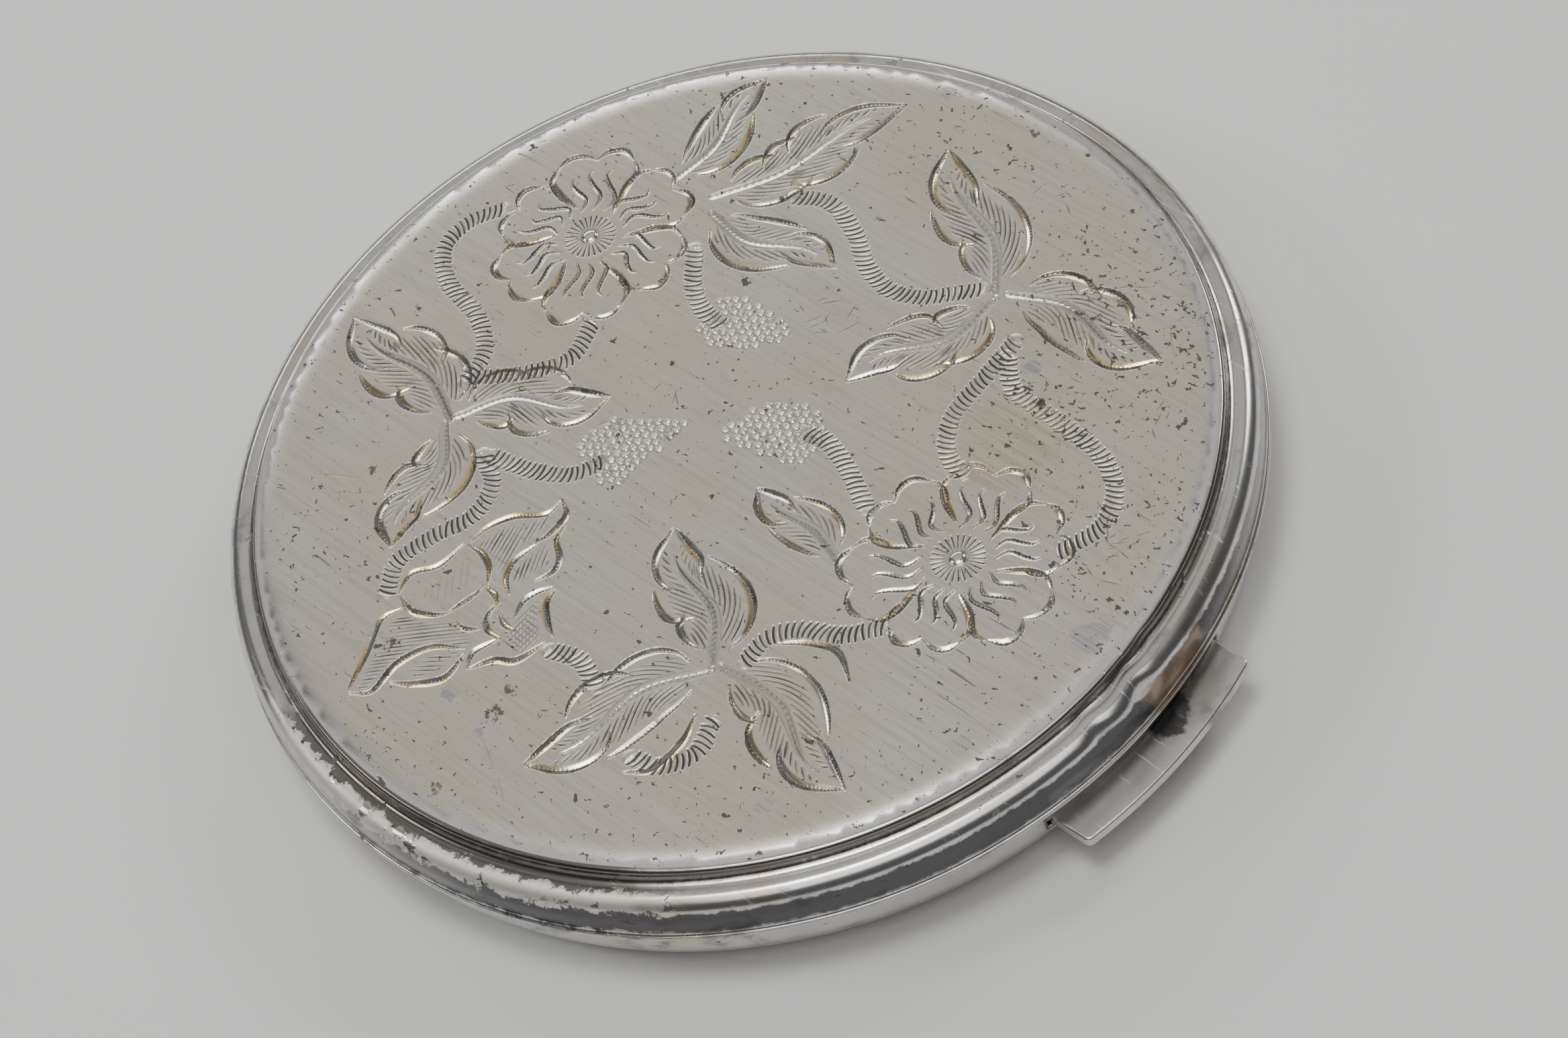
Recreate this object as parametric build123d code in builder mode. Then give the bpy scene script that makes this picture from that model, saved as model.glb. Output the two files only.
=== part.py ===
"""A slim round loose-powder compact: hinged engraved lid, mirror, self-opening powder door and thumb catch.

Millimetres. +Z is up, and the origin is the centre of the flat base. The hinge is at +Y and the thumb
plate at -Y. The compact is closed, as it lies on a table.
"""

import os

from build123d import *

# ---- driving dimensions ----------------------------------------------------------------------------
TOTAL_HEIGHT = 10.0  # table to the flat top of the lid
SHEET = 0.5  # brass sheet of both casings
CLEARANCE = 0.2  # between parts that pass each other

PLATEAU_RADIUS = 35.0  # flat engraved top
LID_WALL_RADIUS = 37.35
LIP_RADIUS = 37.6  # rolled lip where the casings part
LIP_BOTTOM = 5.3
LIP_HEIGHT = 0.3

BASE_WALL_RADIUS = 37.0
BASE_WALL_TOP = 5.25
BASE_FILLET = 3.8

# ---- lid section, from the top down ---------------------------------------------------------------
PLATEAU_EDGE = 0.4  # rounding of the plateau's edge
STEP_FOOT = (PLATEAU_RADIUS + 0.1, TOTAL_HEIGHT - 1.1)
COVE_FLOOR = (PLATEAU_RADIUS + 0.5, TOTAL_HEIGHT - 1.5)
BEAD_TOP = (LID_WALL_RADIUS - 1.15, TOTAL_HEIGHT - 1.3)
BEAD_RADIUS = LID_WALL_RADIUS - BEAD_TOP[0]
BEAD_FOOT = (LID_WALL_RADIUS, BEAD_TOP[1] - BEAD_RADIUS)
LIP_FLARE = LIP_RADIUS - LID_WALL_RADIUS
LID_INSIDE_RADIUS = LID_WALL_RADIUS - SHEET
LID_UNDERSIDE = TOTAL_HEIGHT - SHEET
COVE_RADIUS = 0.4

# ---- base interior --------------------------------------------------------------------------------
BASE_INSIDE_RADIUS = BASE_WALL_RADIUS - SHEET
COLLAR_SHEET = 0.45
COLLAR_BOTTOM = 4.6
COLLAR_TOP = 6.6
COLLAR_INSIDE_RADIUS = BASE_INSIDE_RADIUS - COLLAR_SHEET

TRAY_SHEET = 0.4
WELL_RADIUS = 32.0  # outside of the powder well
DECK_TOP = 5.7
DECK_BOTTOM = DECK_TOP - TRAY_SHEET

SIFTER_RADIUS = 31.5
SIFTER_SHEET = 0.4
SIFTER_BOTTOM = 2.6
SIFTER_TOP = 4.4
SIFTER_WINDOW_RADIUS = 29.8
SIFTER_LEDGE_BOTTOM = 3.05
GAUZE_RADIUS = 30.9
GAUZE_THICKNESS = 0.15

PUFF_RADIUS = 29.3
PUFF_BOTTOM = 3.2
PUFF_TOP = 5.3
PUFF_EDGE = 0.9
RIBBON_WIDTH = 12.0
RIBBON_THICKNESS = 0.2

# ---- main hinge -----------------------------------------------------------------------------------
HINGE_Y = 37.8
HINGE_Z = 4.5  # the barrel lies just under the lid's lip
HINGE_LENGTH = 20.5
HINGE_RADIUS = 0.75
HINGE_BORE = 0.35
HINGE_PIN_RADIUS = 0.3
HINGE_KNUCKLES = 5
KNUCKLE_GAP = 0.12
LEAF_THICKNESS = 0.4
LEAF_GAP = 0.12  # between the lid's leaf and the base wall
KNUCKLE_CLEARANCE = 0.1
PIN_HEAD_RADIUS = 0.5
PIN_HEAD_LENGTH = 0.25

# ---- powder door ----------------------------------------------------------------------------------
DOOR_RADIUS = 32.9
DOOR_BOTTOM = 5.85
DOOR_SHEET = 0.35
DOOR_FLAT = 3.6  # width of the flat border
DOOR_RISE = 0.3  # how far the middle is pressed up
DOOR_HINGE_Y = 33.9
DOOR_HINGE_RADIUS = 0.5
DOOR_HINGE_Z = DECK_TOP + DOOR_HINGE_RADIUS
DOOR_HINGE_BORE = 0.26
DOOR_PIN_RADIUS = 0.2
DOOR_HINGE_LENGTH = 12.0
DOOR_KNUCKLE_LENGTH = 5.6
DOOR_LEAF_THICKNESS = 0.25
LIFT_TAB = (9.0, 2.0, 0.6)  # length, depth and height of the finger grip
LIFT_TAB_Y = -27.6
DOOR_SPRING = (4.0, 6.0, 0.1)  # width, length and thickness of the leaf under the door's heel

# ---- thumb catch ----------------------------------------------------------------------------------
THUMB_OUTER_RADIUS = 40.0
THUMB_WIDTH = 17.0
THUMB_BOTTOM = 3.0
THUMB_THICKNESS = 0.9
THUMB_INNER_Y = -34.2
THUMB_CORNER = 0.5
SHOULDER_WIDTH = 21.0  # keeps the plate from being pulled out of its slot
SLOT_WIDTH = THUMB_WIDTH + 0.5
SLOT_CLEARANCE = 0.1
THUMB_TOP = THUMB_BOTTOM + THUMB_THICKNESS

HOOK_SHEET = 0.4
HOOK_WIDTH = 3.0
HOOK_FOOT = (7.0, 1.7)  # width and depth of the riveted foot
HOOK_TOP = 7.35
HOOK_STEM = 0.5
HOOK_NOSE_Y = -35.7
HOOK_NOSE_THICKNESS = 0.3
RIVET_RADIUS = 0.4
RIVET_HEAD_RADIUS = 0.7
RIVET_HEAD = 0.2
RIVET_X = 2.6
RIVET_Y = -35.05
SPRING_STRIP = 0.2
SPRING_HEIGHT = 1.2
SPRING_HALF_SPAN = 8.0
SPRING_BOTTOM = 2.8

KEEPER_WIDTH = 6.0
KEEPER_SHEET = 0.3
KEEPER_BOTTOM = 6.72
KEEPER_TOP = 7.5
KEEPER_LEDGE_Y = -35.3

# ---- mirror ---------------------------------------------------------------------------------------
MIRROR_RADIUS = 33.5
MIRROR_BOTTOM = 7.9
MIRROR_THICKNESS = 1.1
BEZEL_INSIDE_RADIUS = 33.6
BEZEL_SHEET = 0.35
BEZEL_LIP = 1.2
PAD_RADIUS = 33.3


def knuckle_spans(first):
    """Start and length along X of every second knuckle of the main hinge, from number `first`."""
    pitch = (HINGE_LENGTH + KNUCKLE_GAP) / HINGE_KNUCKLES
    starts = [-HINGE_LENGTH / 2 + pitch * i for i in range(first, HINGE_KNUCKLES, 2)]
    return [(start, pitch - KNUCKLE_GAP) for start in starts]


BASE_KNUCKLES = knuckle_spans(0)
LID_KNUCKLES = knuckle_spans(1)

# ---- base -----------------------------------------------------------------------------------------

# Drawn cup with a round bottom corner, and a slot at the front for the thumb plate.
with BuildPart() as base_shell:
    with BuildSketch(Plane.XZ):
        with BuildLine():
            foot = Line((0, 0), (BASE_WALL_RADIUS - BASE_FILLET, 0))
            corner = RadiusArc(foot @ 1, (BASE_WALL_RADIUS, BASE_FILLET), -BASE_FILLET)
            Polyline(corner @ 1, (BASE_WALL_RADIUS, BASE_WALL_TOP), (BASE_INSIDE_RADIUS, BASE_WALL_TOP),
                     (BASE_INSIDE_RADIUS, BASE_FILLET))
            RadiusArc((BASE_INSIDE_RADIUS, BASE_FILLET), (BASE_WALL_RADIUS - BASE_FILLET, SHEET),
                      BASE_FILLET - SHEET)
            Polyline((BASE_WALL_RADIUS - BASE_FILLET, SHEET), (0, SHEET), (0, 0))
        make_face()
    revolve(axis=Axis.Z)
    with BuildSketch(Plane.XY.offset(THUMB_BOTTOM - SLOT_CLEARANCE)):
        with Locations((0, -BASE_WALL_RADIUS)):
            Rectangle(SLOT_WIDTH, 4 * SHEET + 2)
    extrude(amount=THUMB_THICKNESS + 2 * SLOT_CLEARANCE, mode=Mode.SUBTRACT)

# Ring soldered inside the base wall. It stands up inside the lid and centres it.
with BuildPart() as collar_ring:
    with BuildSketch(Plane.XY.offset(COLLAR_BOTTOM)):
        Circle(BASE_INSIDE_RADIUS)
        Circle(COLLAR_INSIDE_RADIUS, mode=Mode.SUBTRACT)
    extrude(amount=COLLAR_TOP - COLLAR_BOTTOM)
    chamfer(collar_ring.edges().group_by(Axis.Z)[-1], COLLAR_SHEET / 3)

# Drawn tray: the powder well and the flat deck around it, with a window for the catch hook.
with BuildPart() as powder_tray:
    with BuildSketch(Plane.XZ):
        with BuildLine():
            Polyline((0, SHEET), (WELL_RADIUS, SHEET), (WELL_RADIUS, DECK_BOTTOM),
                     (COLLAR_INSIDE_RADIUS, DECK_BOTTOM), (COLLAR_INSIDE_RADIUS, DECK_TOP),
                     (WELL_RADIUS - TRAY_SHEET, DECK_TOP), (WELL_RADIUS - TRAY_SHEET, SHEET + TRAY_SHEET),
                     (0, SHEET + TRAY_SHEET), close=True)
        make_face()
    revolve(axis=Axis.Z)
    with BuildSketch(Plane.XY.offset(DECK_BOTTOM)):
        with Locations((0, THUMB_INNER_Y)):
            Rectangle(HOOK_WIDTH + 0.8, 2.0)
    extrude(amount=TRAY_SHEET, mode=Mode.SUBTRACT)

# Ring that holds the sifter gauze in the well.
with BuildPart() as sifter_ring:
    with BuildSketch(Plane.XZ):
        with BuildLine():
            Polyline((SIFTER_RADIUS, SIFTER_BOTTOM), (SIFTER_RADIUS, SIFTER_TOP),
                     (SIFTER_RADIUS - SIFTER_SHEET, SIFTER_TOP),
                     (SIFTER_RADIUS - SIFTER_SHEET, SIFTER_LEDGE_BOTTOM + SIFTER_SHEET),
                     (SIFTER_WINDOW_RADIUS, SIFTER_LEDGE_BOTTOM + SIFTER_SHEET),
                     (SIFTER_WINDOW_RADIUS, SIFTER_LEDGE_BOTTOM),
                     (SIFTER_RADIUS - SIFTER_SHEET, SIFTER_LEDGE_BOTTOM),
                     (SIFTER_RADIUS - SIFTER_SHEET, SIFTER_BOTTOM), close=True)
        make_face()
    revolve(axis=Axis.Z)

with BuildPart() as sifter_gauze:
    with BuildSketch(Plane.XY.offset(SIFTER_LEDGE_BOTTOM - GAUZE_THICKNESS)):
        Circle(GAUZE_RADIUS)
    extrude(amount=GAUZE_THICKNESS)

# Flat velour puff that lies on the sifter, and its satin ribbon.
with BuildPart() as puff:
    with BuildSketch(Plane.XY.offset(PUFF_BOTTOM)):
        Circle(PUFF_RADIUS)
    extrude(amount=PUFF_TOP - PUFF_BOTTOM)
    fillet(puff.edges(), PUFF_EDGE)

with BuildPart() as puff_ribbon:
    with BuildSketch(Plane.XY.offset(PUFF_TOP)):
        Circle(PUFF_RADIUS - PUFF_EDGE)
        Rectangle(2 * PUFF_RADIUS, RIBBON_WIDTH, mode=Mode.INTERSECT)
    extrude(amount=RIBBON_THICKNESS)

# ---- main hinge -----------------------------------------------------------------------------------

# Base leaf: a plate between the round wall and the straight barrel, with three knuckles.
with BuildPart() as base_hinge_leaf:
    with BuildSketch(Plane.XY.offset(HINGE_Z - HINGE_RADIUS)):
        Rectangle(HINGE_LENGTH, HINGE_Y, align=(Align.CENTER, Align.MIN))
        Circle(BASE_WALL_RADIUS, mode=Mode.SUBTRACT)
        for start, length in LID_KNUCKLES:
            with Locations((start + length / 2, HINGE_Y)):
                Rectangle(length + 2 * KNUCKLE_GAP, 2 * (HINGE_RADIUS + KNUCKLE_CLEARANCE), mode=Mode.SUBTRACT)
    extrude(amount=LEAF_THICKNESS)
    for start, length in BASE_KNUCKLES:
        with BuildSketch(Plane.YZ.offset(start)):
            with Locations((HINGE_Y, HINGE_Z)):
                Circle(HINGE_RADIUS)
                Circle(HINGE_BORE, mode=Mode.SUBTRACT)
        extrude(amount=length)

# Lid leaf: soldered under the lip and on top of the barrel, with two knuckles.
with BuildPart() as lid_hinge_leaf:
    with BuildSketch(Plane.XY.offset(LIP_BOTTOM - LEAF_THICKNESS)):
        Rectangle(HINGE_LENGTH, HINGE_Y, align=(Align.CENTER, Align.MIN))
        Circle(BASE_WALL_RADIUS + LEAF_GAP, mode=Mode.SUBTRACT)
        for start, length in BASE_KNUCKLES:
            with Locations((start + length / 2, HINGE_Y)):
                Rectangle(length + 2 * KNUCKLE_GAP, 2 * (HINGE_RADIUS + KNUCKLE_CLEARANCE), mode=Mode.SUBTRACT)
    extrude(amount=LEAF_THICKNESS)
    for start, length in LID_KNUCKLES:
        with BuildSketch(Plane.YZ.offset(start)):
            with Locations((HINGE_Y, HINGE_Z)):
                Circle(HINGE_RADIUS)
                Circle(HINGE_BORE, mode=Mode.SUBTRACT)
        extrude(amount=length)

# Pin with both ends peened over.
with BuildPart() as hinge_pin:
    with BuildSketch(Plane.YZ.offset(-HINGE_LENGTH / 2)):
        with Locations((HINGE_Y, HINGE_Z)):
            Circle(HINGE_PIN_RADIUS)
    extrude(amount=HINGE_LENGTH)
    for start in (-HINGE_LENGTH / 2 - PIN_HEAD_LENGTH, HINGE_LENGTH / 2):
        with BuildSketch(Plane.YZ.offset(start)):
            with Locations((HINGE_Y, HINGE_Z)):
                Circle(PIN_HEAD_RADIUS)
        extrude(amount=PIN_HEAD_LENGTH)
    fillet(hinge_pin.edges().group_by(Axis.X)[0] + hinge_pin.edges().group_by(Axis.X)[-1],
           PIN_HEAD_LENGTH * 0.6)

# ---- powder door ----------------------------------------------------------------------------------

# Thin disc whose middle is pressed up above a flat border.
with BuildPart() as powder_door:
    with BuildSketch(Plane.XZ):
        with BuildLine():
            border = DOOR_RADIUS - DOOR_FLAT
            rise_end = border - 2 * DOOR_RISE
            Polyline((0, DOOR_BOTTOM + DOOR_RISE), (rise_end, DOOR_BOTTOM + DOOR_RISE),
                     (border, DOOR_BOTTOM), (DOOR_RADIUS, DOOR_BOTTOM),
                     (DOOR_RADIUS, DOOR_BOTTOM + DOOR_SHEET), (border, DOOR_BOTTOM + DOOR_SHEET),
                     (rise_end, DOOR_BOTTOM + DOOR_RISE + DOOR_SHEET),
                     (0, DOOR_BOTTOM + DOOR_RISE + DOOR_SHEET), close=True)
        make_face()
    revolve(axis=Axis.Z)

DOOR_TOP = DOOR_BOTTOM + DOOR_SHEET

# Leaf on the door's flat border, with the middle knuckle.
with BuildPart() as door_hinge_leaf:
    with BuildSketch(Plane.XY.offset(DOOR_TOP)):
        with Locations((0, DOOR_HINGE_Y)):
            Rectangle(DOOR_KNUCKLE_LENGTH, DOOR_HINGE_Y - border, align=(Align.CENTER, Align.MAX))
        Circle(border, mode=Mode.SUBTRACT)
    extrude(amount=DOOR_LEAF_THICKNESS)
    with BuildSketch(Plane.YZ.offset(-DOOR_KNUCKLE_LENGTH / 2)):
        with Locations((DOOR_HINGE_Y, DOOR_HINGE_Z)):
            Circle(DOOR_HINGE_RADIUS)
    extrude(amount=DOOR_KNUCKLE_LENGTH)
    with BuildSketch(Plane.YZ.offset(-DOOR_KNUCKLE_LENGTH / 2)):
        with Locations((DOOR_HINGE_Y, DOOR_HINGE_Z)):
            Circle(DOOR_HINGE_BORE)
    extrude(amount=DOOR_KNUCKLE_LENGTH, mode=Mode.SUBTRACT)

# Two ears on the deck, joined by a strip behind the door.
EAR_LENGTH = (DOOR_HINGE_LENGTH - DOOR_KNUCKLE_LENGTH) / 2 - KNUCKLE_GAP
with BuildPart() as tray_hinge_leaf:
    with BuildSketch(Plane.XY.offset(DECK_TOP)):
        with Locations((0, DOOR_HINGE_Y)):
            Rectangle(DOOR_HINGE_LENGTH, COLLAR_INSIDE_RADIUS - DOOR_HINGE_Y - 0.6,
                      align=(Align.CENTER, Align.MIN))
        with Locations((0, DOOR_HINGE_Y)):
            Rectangle(DOOR_KNUCKLE_LENGTH + 2 * KNUCKLE_GAP, 2 * (DOOR_HINGE_RADIUS + CLEARANCE),
                      mode=Mode.SUBTRACT)
    extrude(amount=DOOR_LEAF_THICKNESS)
    for start in (-DOOR_HINGE_LENGTH / 2, DOOR_HINGE_LENGTH / 2 - EAR_LENGTH):
        with BuildSketch(Plane.YZ.offset(start)):
            with Locations((DOOR_HINGE_Y, DOOR_HINGE_Z)):
                Circle(DOOR_HINGE_RADIUS)
        extrude(amount=EAR_LENGTH)
    with BuildSketch(Plane.YZ.offset(-DOOR_HINGE_LENGTH / 2)):
        with Locations((DOOR_HINGE_Y, DOOR_HINGE_Z)):
            Circle(DOOR_HINGE_BORE)
    extrude(amount=DOOR_HINGE_LENGTH, mode=Mode.SUBTRACT)

with BuildPart() as door_hinge_pin:
    with BuildSketch(Plane.YZ.offset(-DOOR_HINGE_LENGTH / 2)):
        with Locations((DOOR_HINGE_Y, DOOR_HINGE_Z)):
            Circle(DOOR_PIN_RADIUS)
    extrude(amount=DOOR_HINGE_LENGTH)

# Folded finger grip on the door's front.
with BuildPart() as door_lift_tab:
    with BuildSketch(Plane.XY.offset(DOOR_TOP + DOOR_RISE)):
        with Locations((0, LIFT_TAB_Y)):
            RectangleRounded(LIFT_TAB[0], LIFT_TAB[1], LIFT_TAB[1] / 2 - CLEARANCE)
    extrude(amount=LIFT_TAB[2])
    fillet(door_lift_tab.edges().group_by(Axis.Z)[-1], CLEARANCE)

# Leaf spring between the deck and the door's heel, which throws the door open.
with BuildPart() as door_spring:
    with BuildSketch(Plane.XY.offset(DECK_TOP)):
        with Locations((0, DOOR_RADIUS)):
            Rectangle(DOOR_SPRING[0], DOOR_SPRING[1], align=(Align.CENTER, Align.MAX))
    extrude(amount=DOOR_SPRING[2])

# ---- thumb catch ----------------------------------------------------------------------------------

# Curved plate through the slot in the base wall. Its shoulders stop it inside the wall.
with BuildPart() as thumb_plate:
    with BuildSketch(Plane.XY.offset(THUMB_BOTTOM)) as thumb_outline:
        Rectangle(THUMB_WIDTH, THUMB_OUTER_RADIUS + 1, align=(Align.CENTER, Align.MAX))
        Circle(THUMB_OUTER_RADIUS, mode=Mode.INTERSECT)
        fillet(thumb_outline.vertices().group_by(Axis.Y)[0], THUMB_CORNER)
        Rectangle(SHOULDER_WIDTH, -THUMB_INNER_Y, align=(Align.CENTER, Align.MAX), mode=Mode.SUBTRACT)
    extrude(amount=THUMB_THICKNESS)
    with BuildSketch(Plane.XY.offset(THUMB_BOTTOM)):
        Circle(BASE_INSIDE_RADIUS - SLOT_CLEARANCE)
        with Locations((0, THUMB_INNER_Y)):
            Rectangle(SHOULDER_WIDTH, BASE_WALL_RADIUS, align=(Align.CENTER, Align.MAX),
                      mode=Mode.INTERSECT)
    extrude(amount=THUMB_THICKNESS)
    with Locations((-RIVET_X, RIVET_Y, THUMB_TOP), (RIVET_X, RIVET_Y, THUMB_TOP)):
        Hole(RIVET_RADIUS)
    fillet(thumb_plate.edges().filter_by(GeomType.CIRCLE).sort_by(Axis.Y)[0:2], CLEARANCE)

# Hook riveted on the plate. It passes up through the deck and over the lid's keeper.
with BuildPart() as catch_hook:
    with BuildSketch(Plane.YZ.offset(-HOOK_WIDTH / 2)):
        with BuildLine():
            Polyline((THUMB_INNER_Y, THUMB_TOP), (THUMB_INNER_Y, HOOK_TOP),
                     (THUMB_INNER_Y - HOOK_STEM, HOOK_TOP), (HOOK_NOSE_Y, HOOK_TOP - HOOK_NOSE_THICKNESS / 2),
                     (HOOK_NOSE_Y, HOOK_TOP - HOOK_NOSE_THICKNESS),
                     (THUMB_INNER_Y - HOOK_STEM, HOOK_TOP - HOOK_NOSE_THICKNESS),
                     (THUMB_INNER_Y - HOOK_STEM, THUMB_TOP), close=True)
        make_face()
    extrude(amount=HOOK_WIDTH)
    with BuildSketch(Plane.XY.offset(THUMB_TOP)):
        with Locations((0, THUMB_INNER_Y)):
            Rectangle(HOOK_FOOT[0], HOOK_FOOT[1], align=(Align.CENTER, Align.MAX))
    extrude(amount=HOOK_SHEET)
    with Locations((-RIVET_X, RIVET_Y, THUMB_TOP + HOOK_SHEET), (RIVET_X, RIVET_Y, THUMB_TOP + HOOK_SHEET)):
        Hole(RIVET_RADIUS)

with BuildPart() as catch_rivets:
    with BuildSketch(Plane.XY.offset(THUMB_BOTTOM)):
        with Locations((-RIVET_X, RIVET_Y), (RIVET_X, RIVET_Y)):
            Circle(RIVET_RADIUS)
    extrude(amount=THUMB_THICKNESS + HOOK_SHEET)
    for head_bottom in (THUMB_BOTTOM - RIVET_HEAD, THUMB_TOP + HOOK_SHEET):
        with BuildSketch(Plane.XY.offset(head_bottom)):
            with Locations((-RIVET_X, RIVET_Y), (RIVET_X, RIVET_Y)):
                Circle(RIVET_HEAD_RADIUS)
        extrude(amount=RIVET_HEAD)

# Bowed strip between the plate and the powder well, which pushes the catch out.
with BuildPart() as catch_spring:
    with BuildSketch(Plane.XY.offset(SPRING_BOTTOM)):
        with BuildLine():
            bow_top = -WELL_RADIUS - SPRING_STRIP / 4
            ends_y = THUMB_INNER_Y + SPRING_STRIP / 4
            ThreePointArc((-SPRING_HALF_SPAN, ends_y + SPRING_STRIP), (0, bow_top),
                          (SPRING_HALF_SPAN, ends_y + SPRING_STRIP))
            Line((SPRING_HALF_SPAN, ends_y + SPRING_STRIP), (SPRING_HALF_SPAN, ends_y))
            ThreePointArc((SPRING_HALF_SPAN, ends_y), (0, bow_top - SPRING_STRIP),
                          (-SPRING_HALF_SPAN, ends_y))
            Line((-SPRING_HALF_SPAN, ends_y), (-SPRING_HALF_SPAN, ends_y + SPRING_STRIP))
        make_face()
    extrude(amount=SPRING_HEIGHT)

# ---- lid ------------------------------------------------------------------------------------------

# Spun lid: flat plateau, step, cove, rounded bead, wall and rolled lip.
with BuildPart() as lid_shell:
    with BuildSketch(Plane.XZ):
        with BuildLine():
            flat = Line((0, TOTAL_HEIGHT), (PLATEAU_RADIUS - PLATEAU_EDGE, TOTAL_HEIGHT))
            edge = RadiusArc(flat @ 1, (PLATEAU_RADIUS, TOTAL_HEIGHT - PLATEAU_EDGE), PLATEAU_EDGE)
            step = Line(edge @ 1, STEP_FOOT)
            RadiusArc(step @ 1, COVE_FLOOR, -COVE_RADIUS)
            Line(COVE_FLOOR, BEAD_TOP)
            bead = RadiusArc(BEAD_TOP, BEAD_FOOT, BEAD_RADIUS)
            wall = Line(bead @ 1, (LID_WALL_RADIUS, LIP_BOTTOM + LIP_HEIGHT + LIP_FLARE))
            flare = RadiusArc(wall @ 1, (LIP_RADIUS, LIP_BOTTOM + LIP_HEIGHT), -LIP_FLARE)
            Polyline(flare @ 1, (LIP_RADIUS, LIP_BOTTOM), (LID_INSIDE_RADIUS, LIP_BOTTOM),
                     (LID_INSIDE_RADIUS, BEAD_FOOT[1]))
            RadiusArc((LID_INSIDE_RADIUS, BEAD_FOOT[1]), (BEAD_TOP[0], BEAD_TOP[1] - SHEET),
                      SHEET - BEAD_RADIUS)
            Polyline((BEAD_TOP[0], BEAD_TOP[1] - SHEET), (COVE_FLOOR[0], COVE_FLOOR[1] - SHEET),
                     (PLATEAU_RADIUS - SHEET, STEP_FOOT[1] - SHEET), (PLATEAU_RADIUS - SHEET, LID_UNDERSIDE),
                     (0, LID_UNDERSIDE), (0, TOTAL_HEIGHT))
        make_face()
    revolve(axis=Axis.Z)

# Bent strip on the lid's front wall, which the hook holds down.
with BuildPart() as lid_keeper:
    with BuildSketch(Plane.XY.offset(KEEPER_BOTTOM)):
        Circle(LID_INSIDE_RADIUS)
        with Locations((0, KEEPER_LEDGE_Y)):
            Rectangle(KEEPER_WIDTH, 2, align=(Align.CENTER, Align.MAX), mode=Mode.INTERSECT)
    extrude(amount=KEEPER_TOP - KEEPER_BOTTOM)
    with BuildSketch(Plane.XY.offset(KEEPER_BOTTOM + KEEPER_SHEET)):
        Circle(LID_INSIDE_RADIUS - KEEPER_SHEET)
    extrude(amount=KEEPER_TOP, mode=Mode.SUBTRACT)

with BuildPart() as mirror_glass:
    with BuildSketch(Plane.XY.offset(MIRROR_BOTTOM)):
        Circle(MIRROR_RADIUS)
    extrude(amount=MIRROR_THICKNESS)
    chamfer(mirror_glass.edges().group_by(Axis.Z)[0], CLEARANCE)

with BuildPart() as mirror_pad:
    with BuildSketch(Plane.XY.offset(MIRROR_BOTTOM + MIRROR_THICKNESS)):
        Circle(PAD_RADIUS)
    extrude(amount=LID_UNDERSIDE - MIRROR_BOTTOM - MIRROR_THICKNESS)

# Spun ring that clamps the mirror and its pad up into the lid.
with BuildPart() as mirror_bezel:
    with BuildSketch(Plane.XZ):
        with BuildLine():
            Polyline((BEZEL_INSIDE_RADIUS - BEZEL_LIP, MIRROR_BOTTOM),
                     (BEZEL_INSIDE_RADIUS, MIRROR_BOTTOM), (BEZEL_INSIDE_RADIUS, LID_UNDERSIDE),
                     (BEZEL_INSIDE_RADIUS + BEZEL_SHEET, LID_UNDERSIDE),
                     (BEZEL_INSIDE_RADIUS + BEZEL_SHEET, MIRROR_BOTTOM - BEZEL_SHEET / 2),
                     (BEZEL_INSIDE_RADIUS, MIRROR_BOTTOM - BEZEL_SHEET),
                     (BEZEL_INSIDE_RADIUS - BEZEL_LIP, MIRROR_BOTTOM - BEZEL_SHEET / 2), close=True)
        make_face()
    revolve(axis=Axis.Z)

# ---- write every piece ----------------------------------------------------------------------------

PIECES = {
    "base_shell": base_shell,
    "collar_ring": collar_ring,
    "powder_tray": powder_tray,
    "sifter_ring": sifter_ring,
    "sifter_gauze": sifter_gauze,
    "puff": puff,
    "puff_ribbon": puff_ribbon,
    "base_hinge_leaf": base_hinge_leaf,
    "hinge_pin": hinge_pin,
    "tray_hinge_leaf": tray_hinge_leaf,
    "door_hinge_pin": door_hinge_pin,
    "door_spring": door_spring,
    "powder_door": powder_door,
    "door_hinge_leaf": door_hinge_leaf,
    "door_lift_tab": door_lift_tab,
    "thumb_plate": thumb_plate,
    "catch_hook": catch_hook,
    "catch_rivets": catch_rivets,
    "catch_spring": catch_spring,
    "lid_shell": lid_shell,
    "lid_hinge_leaf": lid_hinge_leaf,
    "lid_keeper": lid_keeper,
    "mirror_glass": mirror_glass,
    "mirror_pad": mirror_pad,
    "mirror_bezel": mirror_bezel,
}

os.makedirs("parts", exist_ok=True)
for label, piece in PIECES.items():
    piece.part.label = label
    export_step(piece.part, f"parts/{label}.step")
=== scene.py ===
"""Looks of the powder compact: engraved and worn lid, plated casings, mirror, sifter and velour puff.

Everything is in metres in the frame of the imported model. +Z is up, the hinge is at +Y and the thumb
plate at -Y. Drawing on the lid is written in millimetres and scaled when its mesh is made.
"""

import math

import bmesh
import bpy
import numpy as np
from mathutils import Matrix, Vector
from mathutils.bvhtree import BVHTree
from mathutils.geometry import delaunay_2d_cdt


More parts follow.
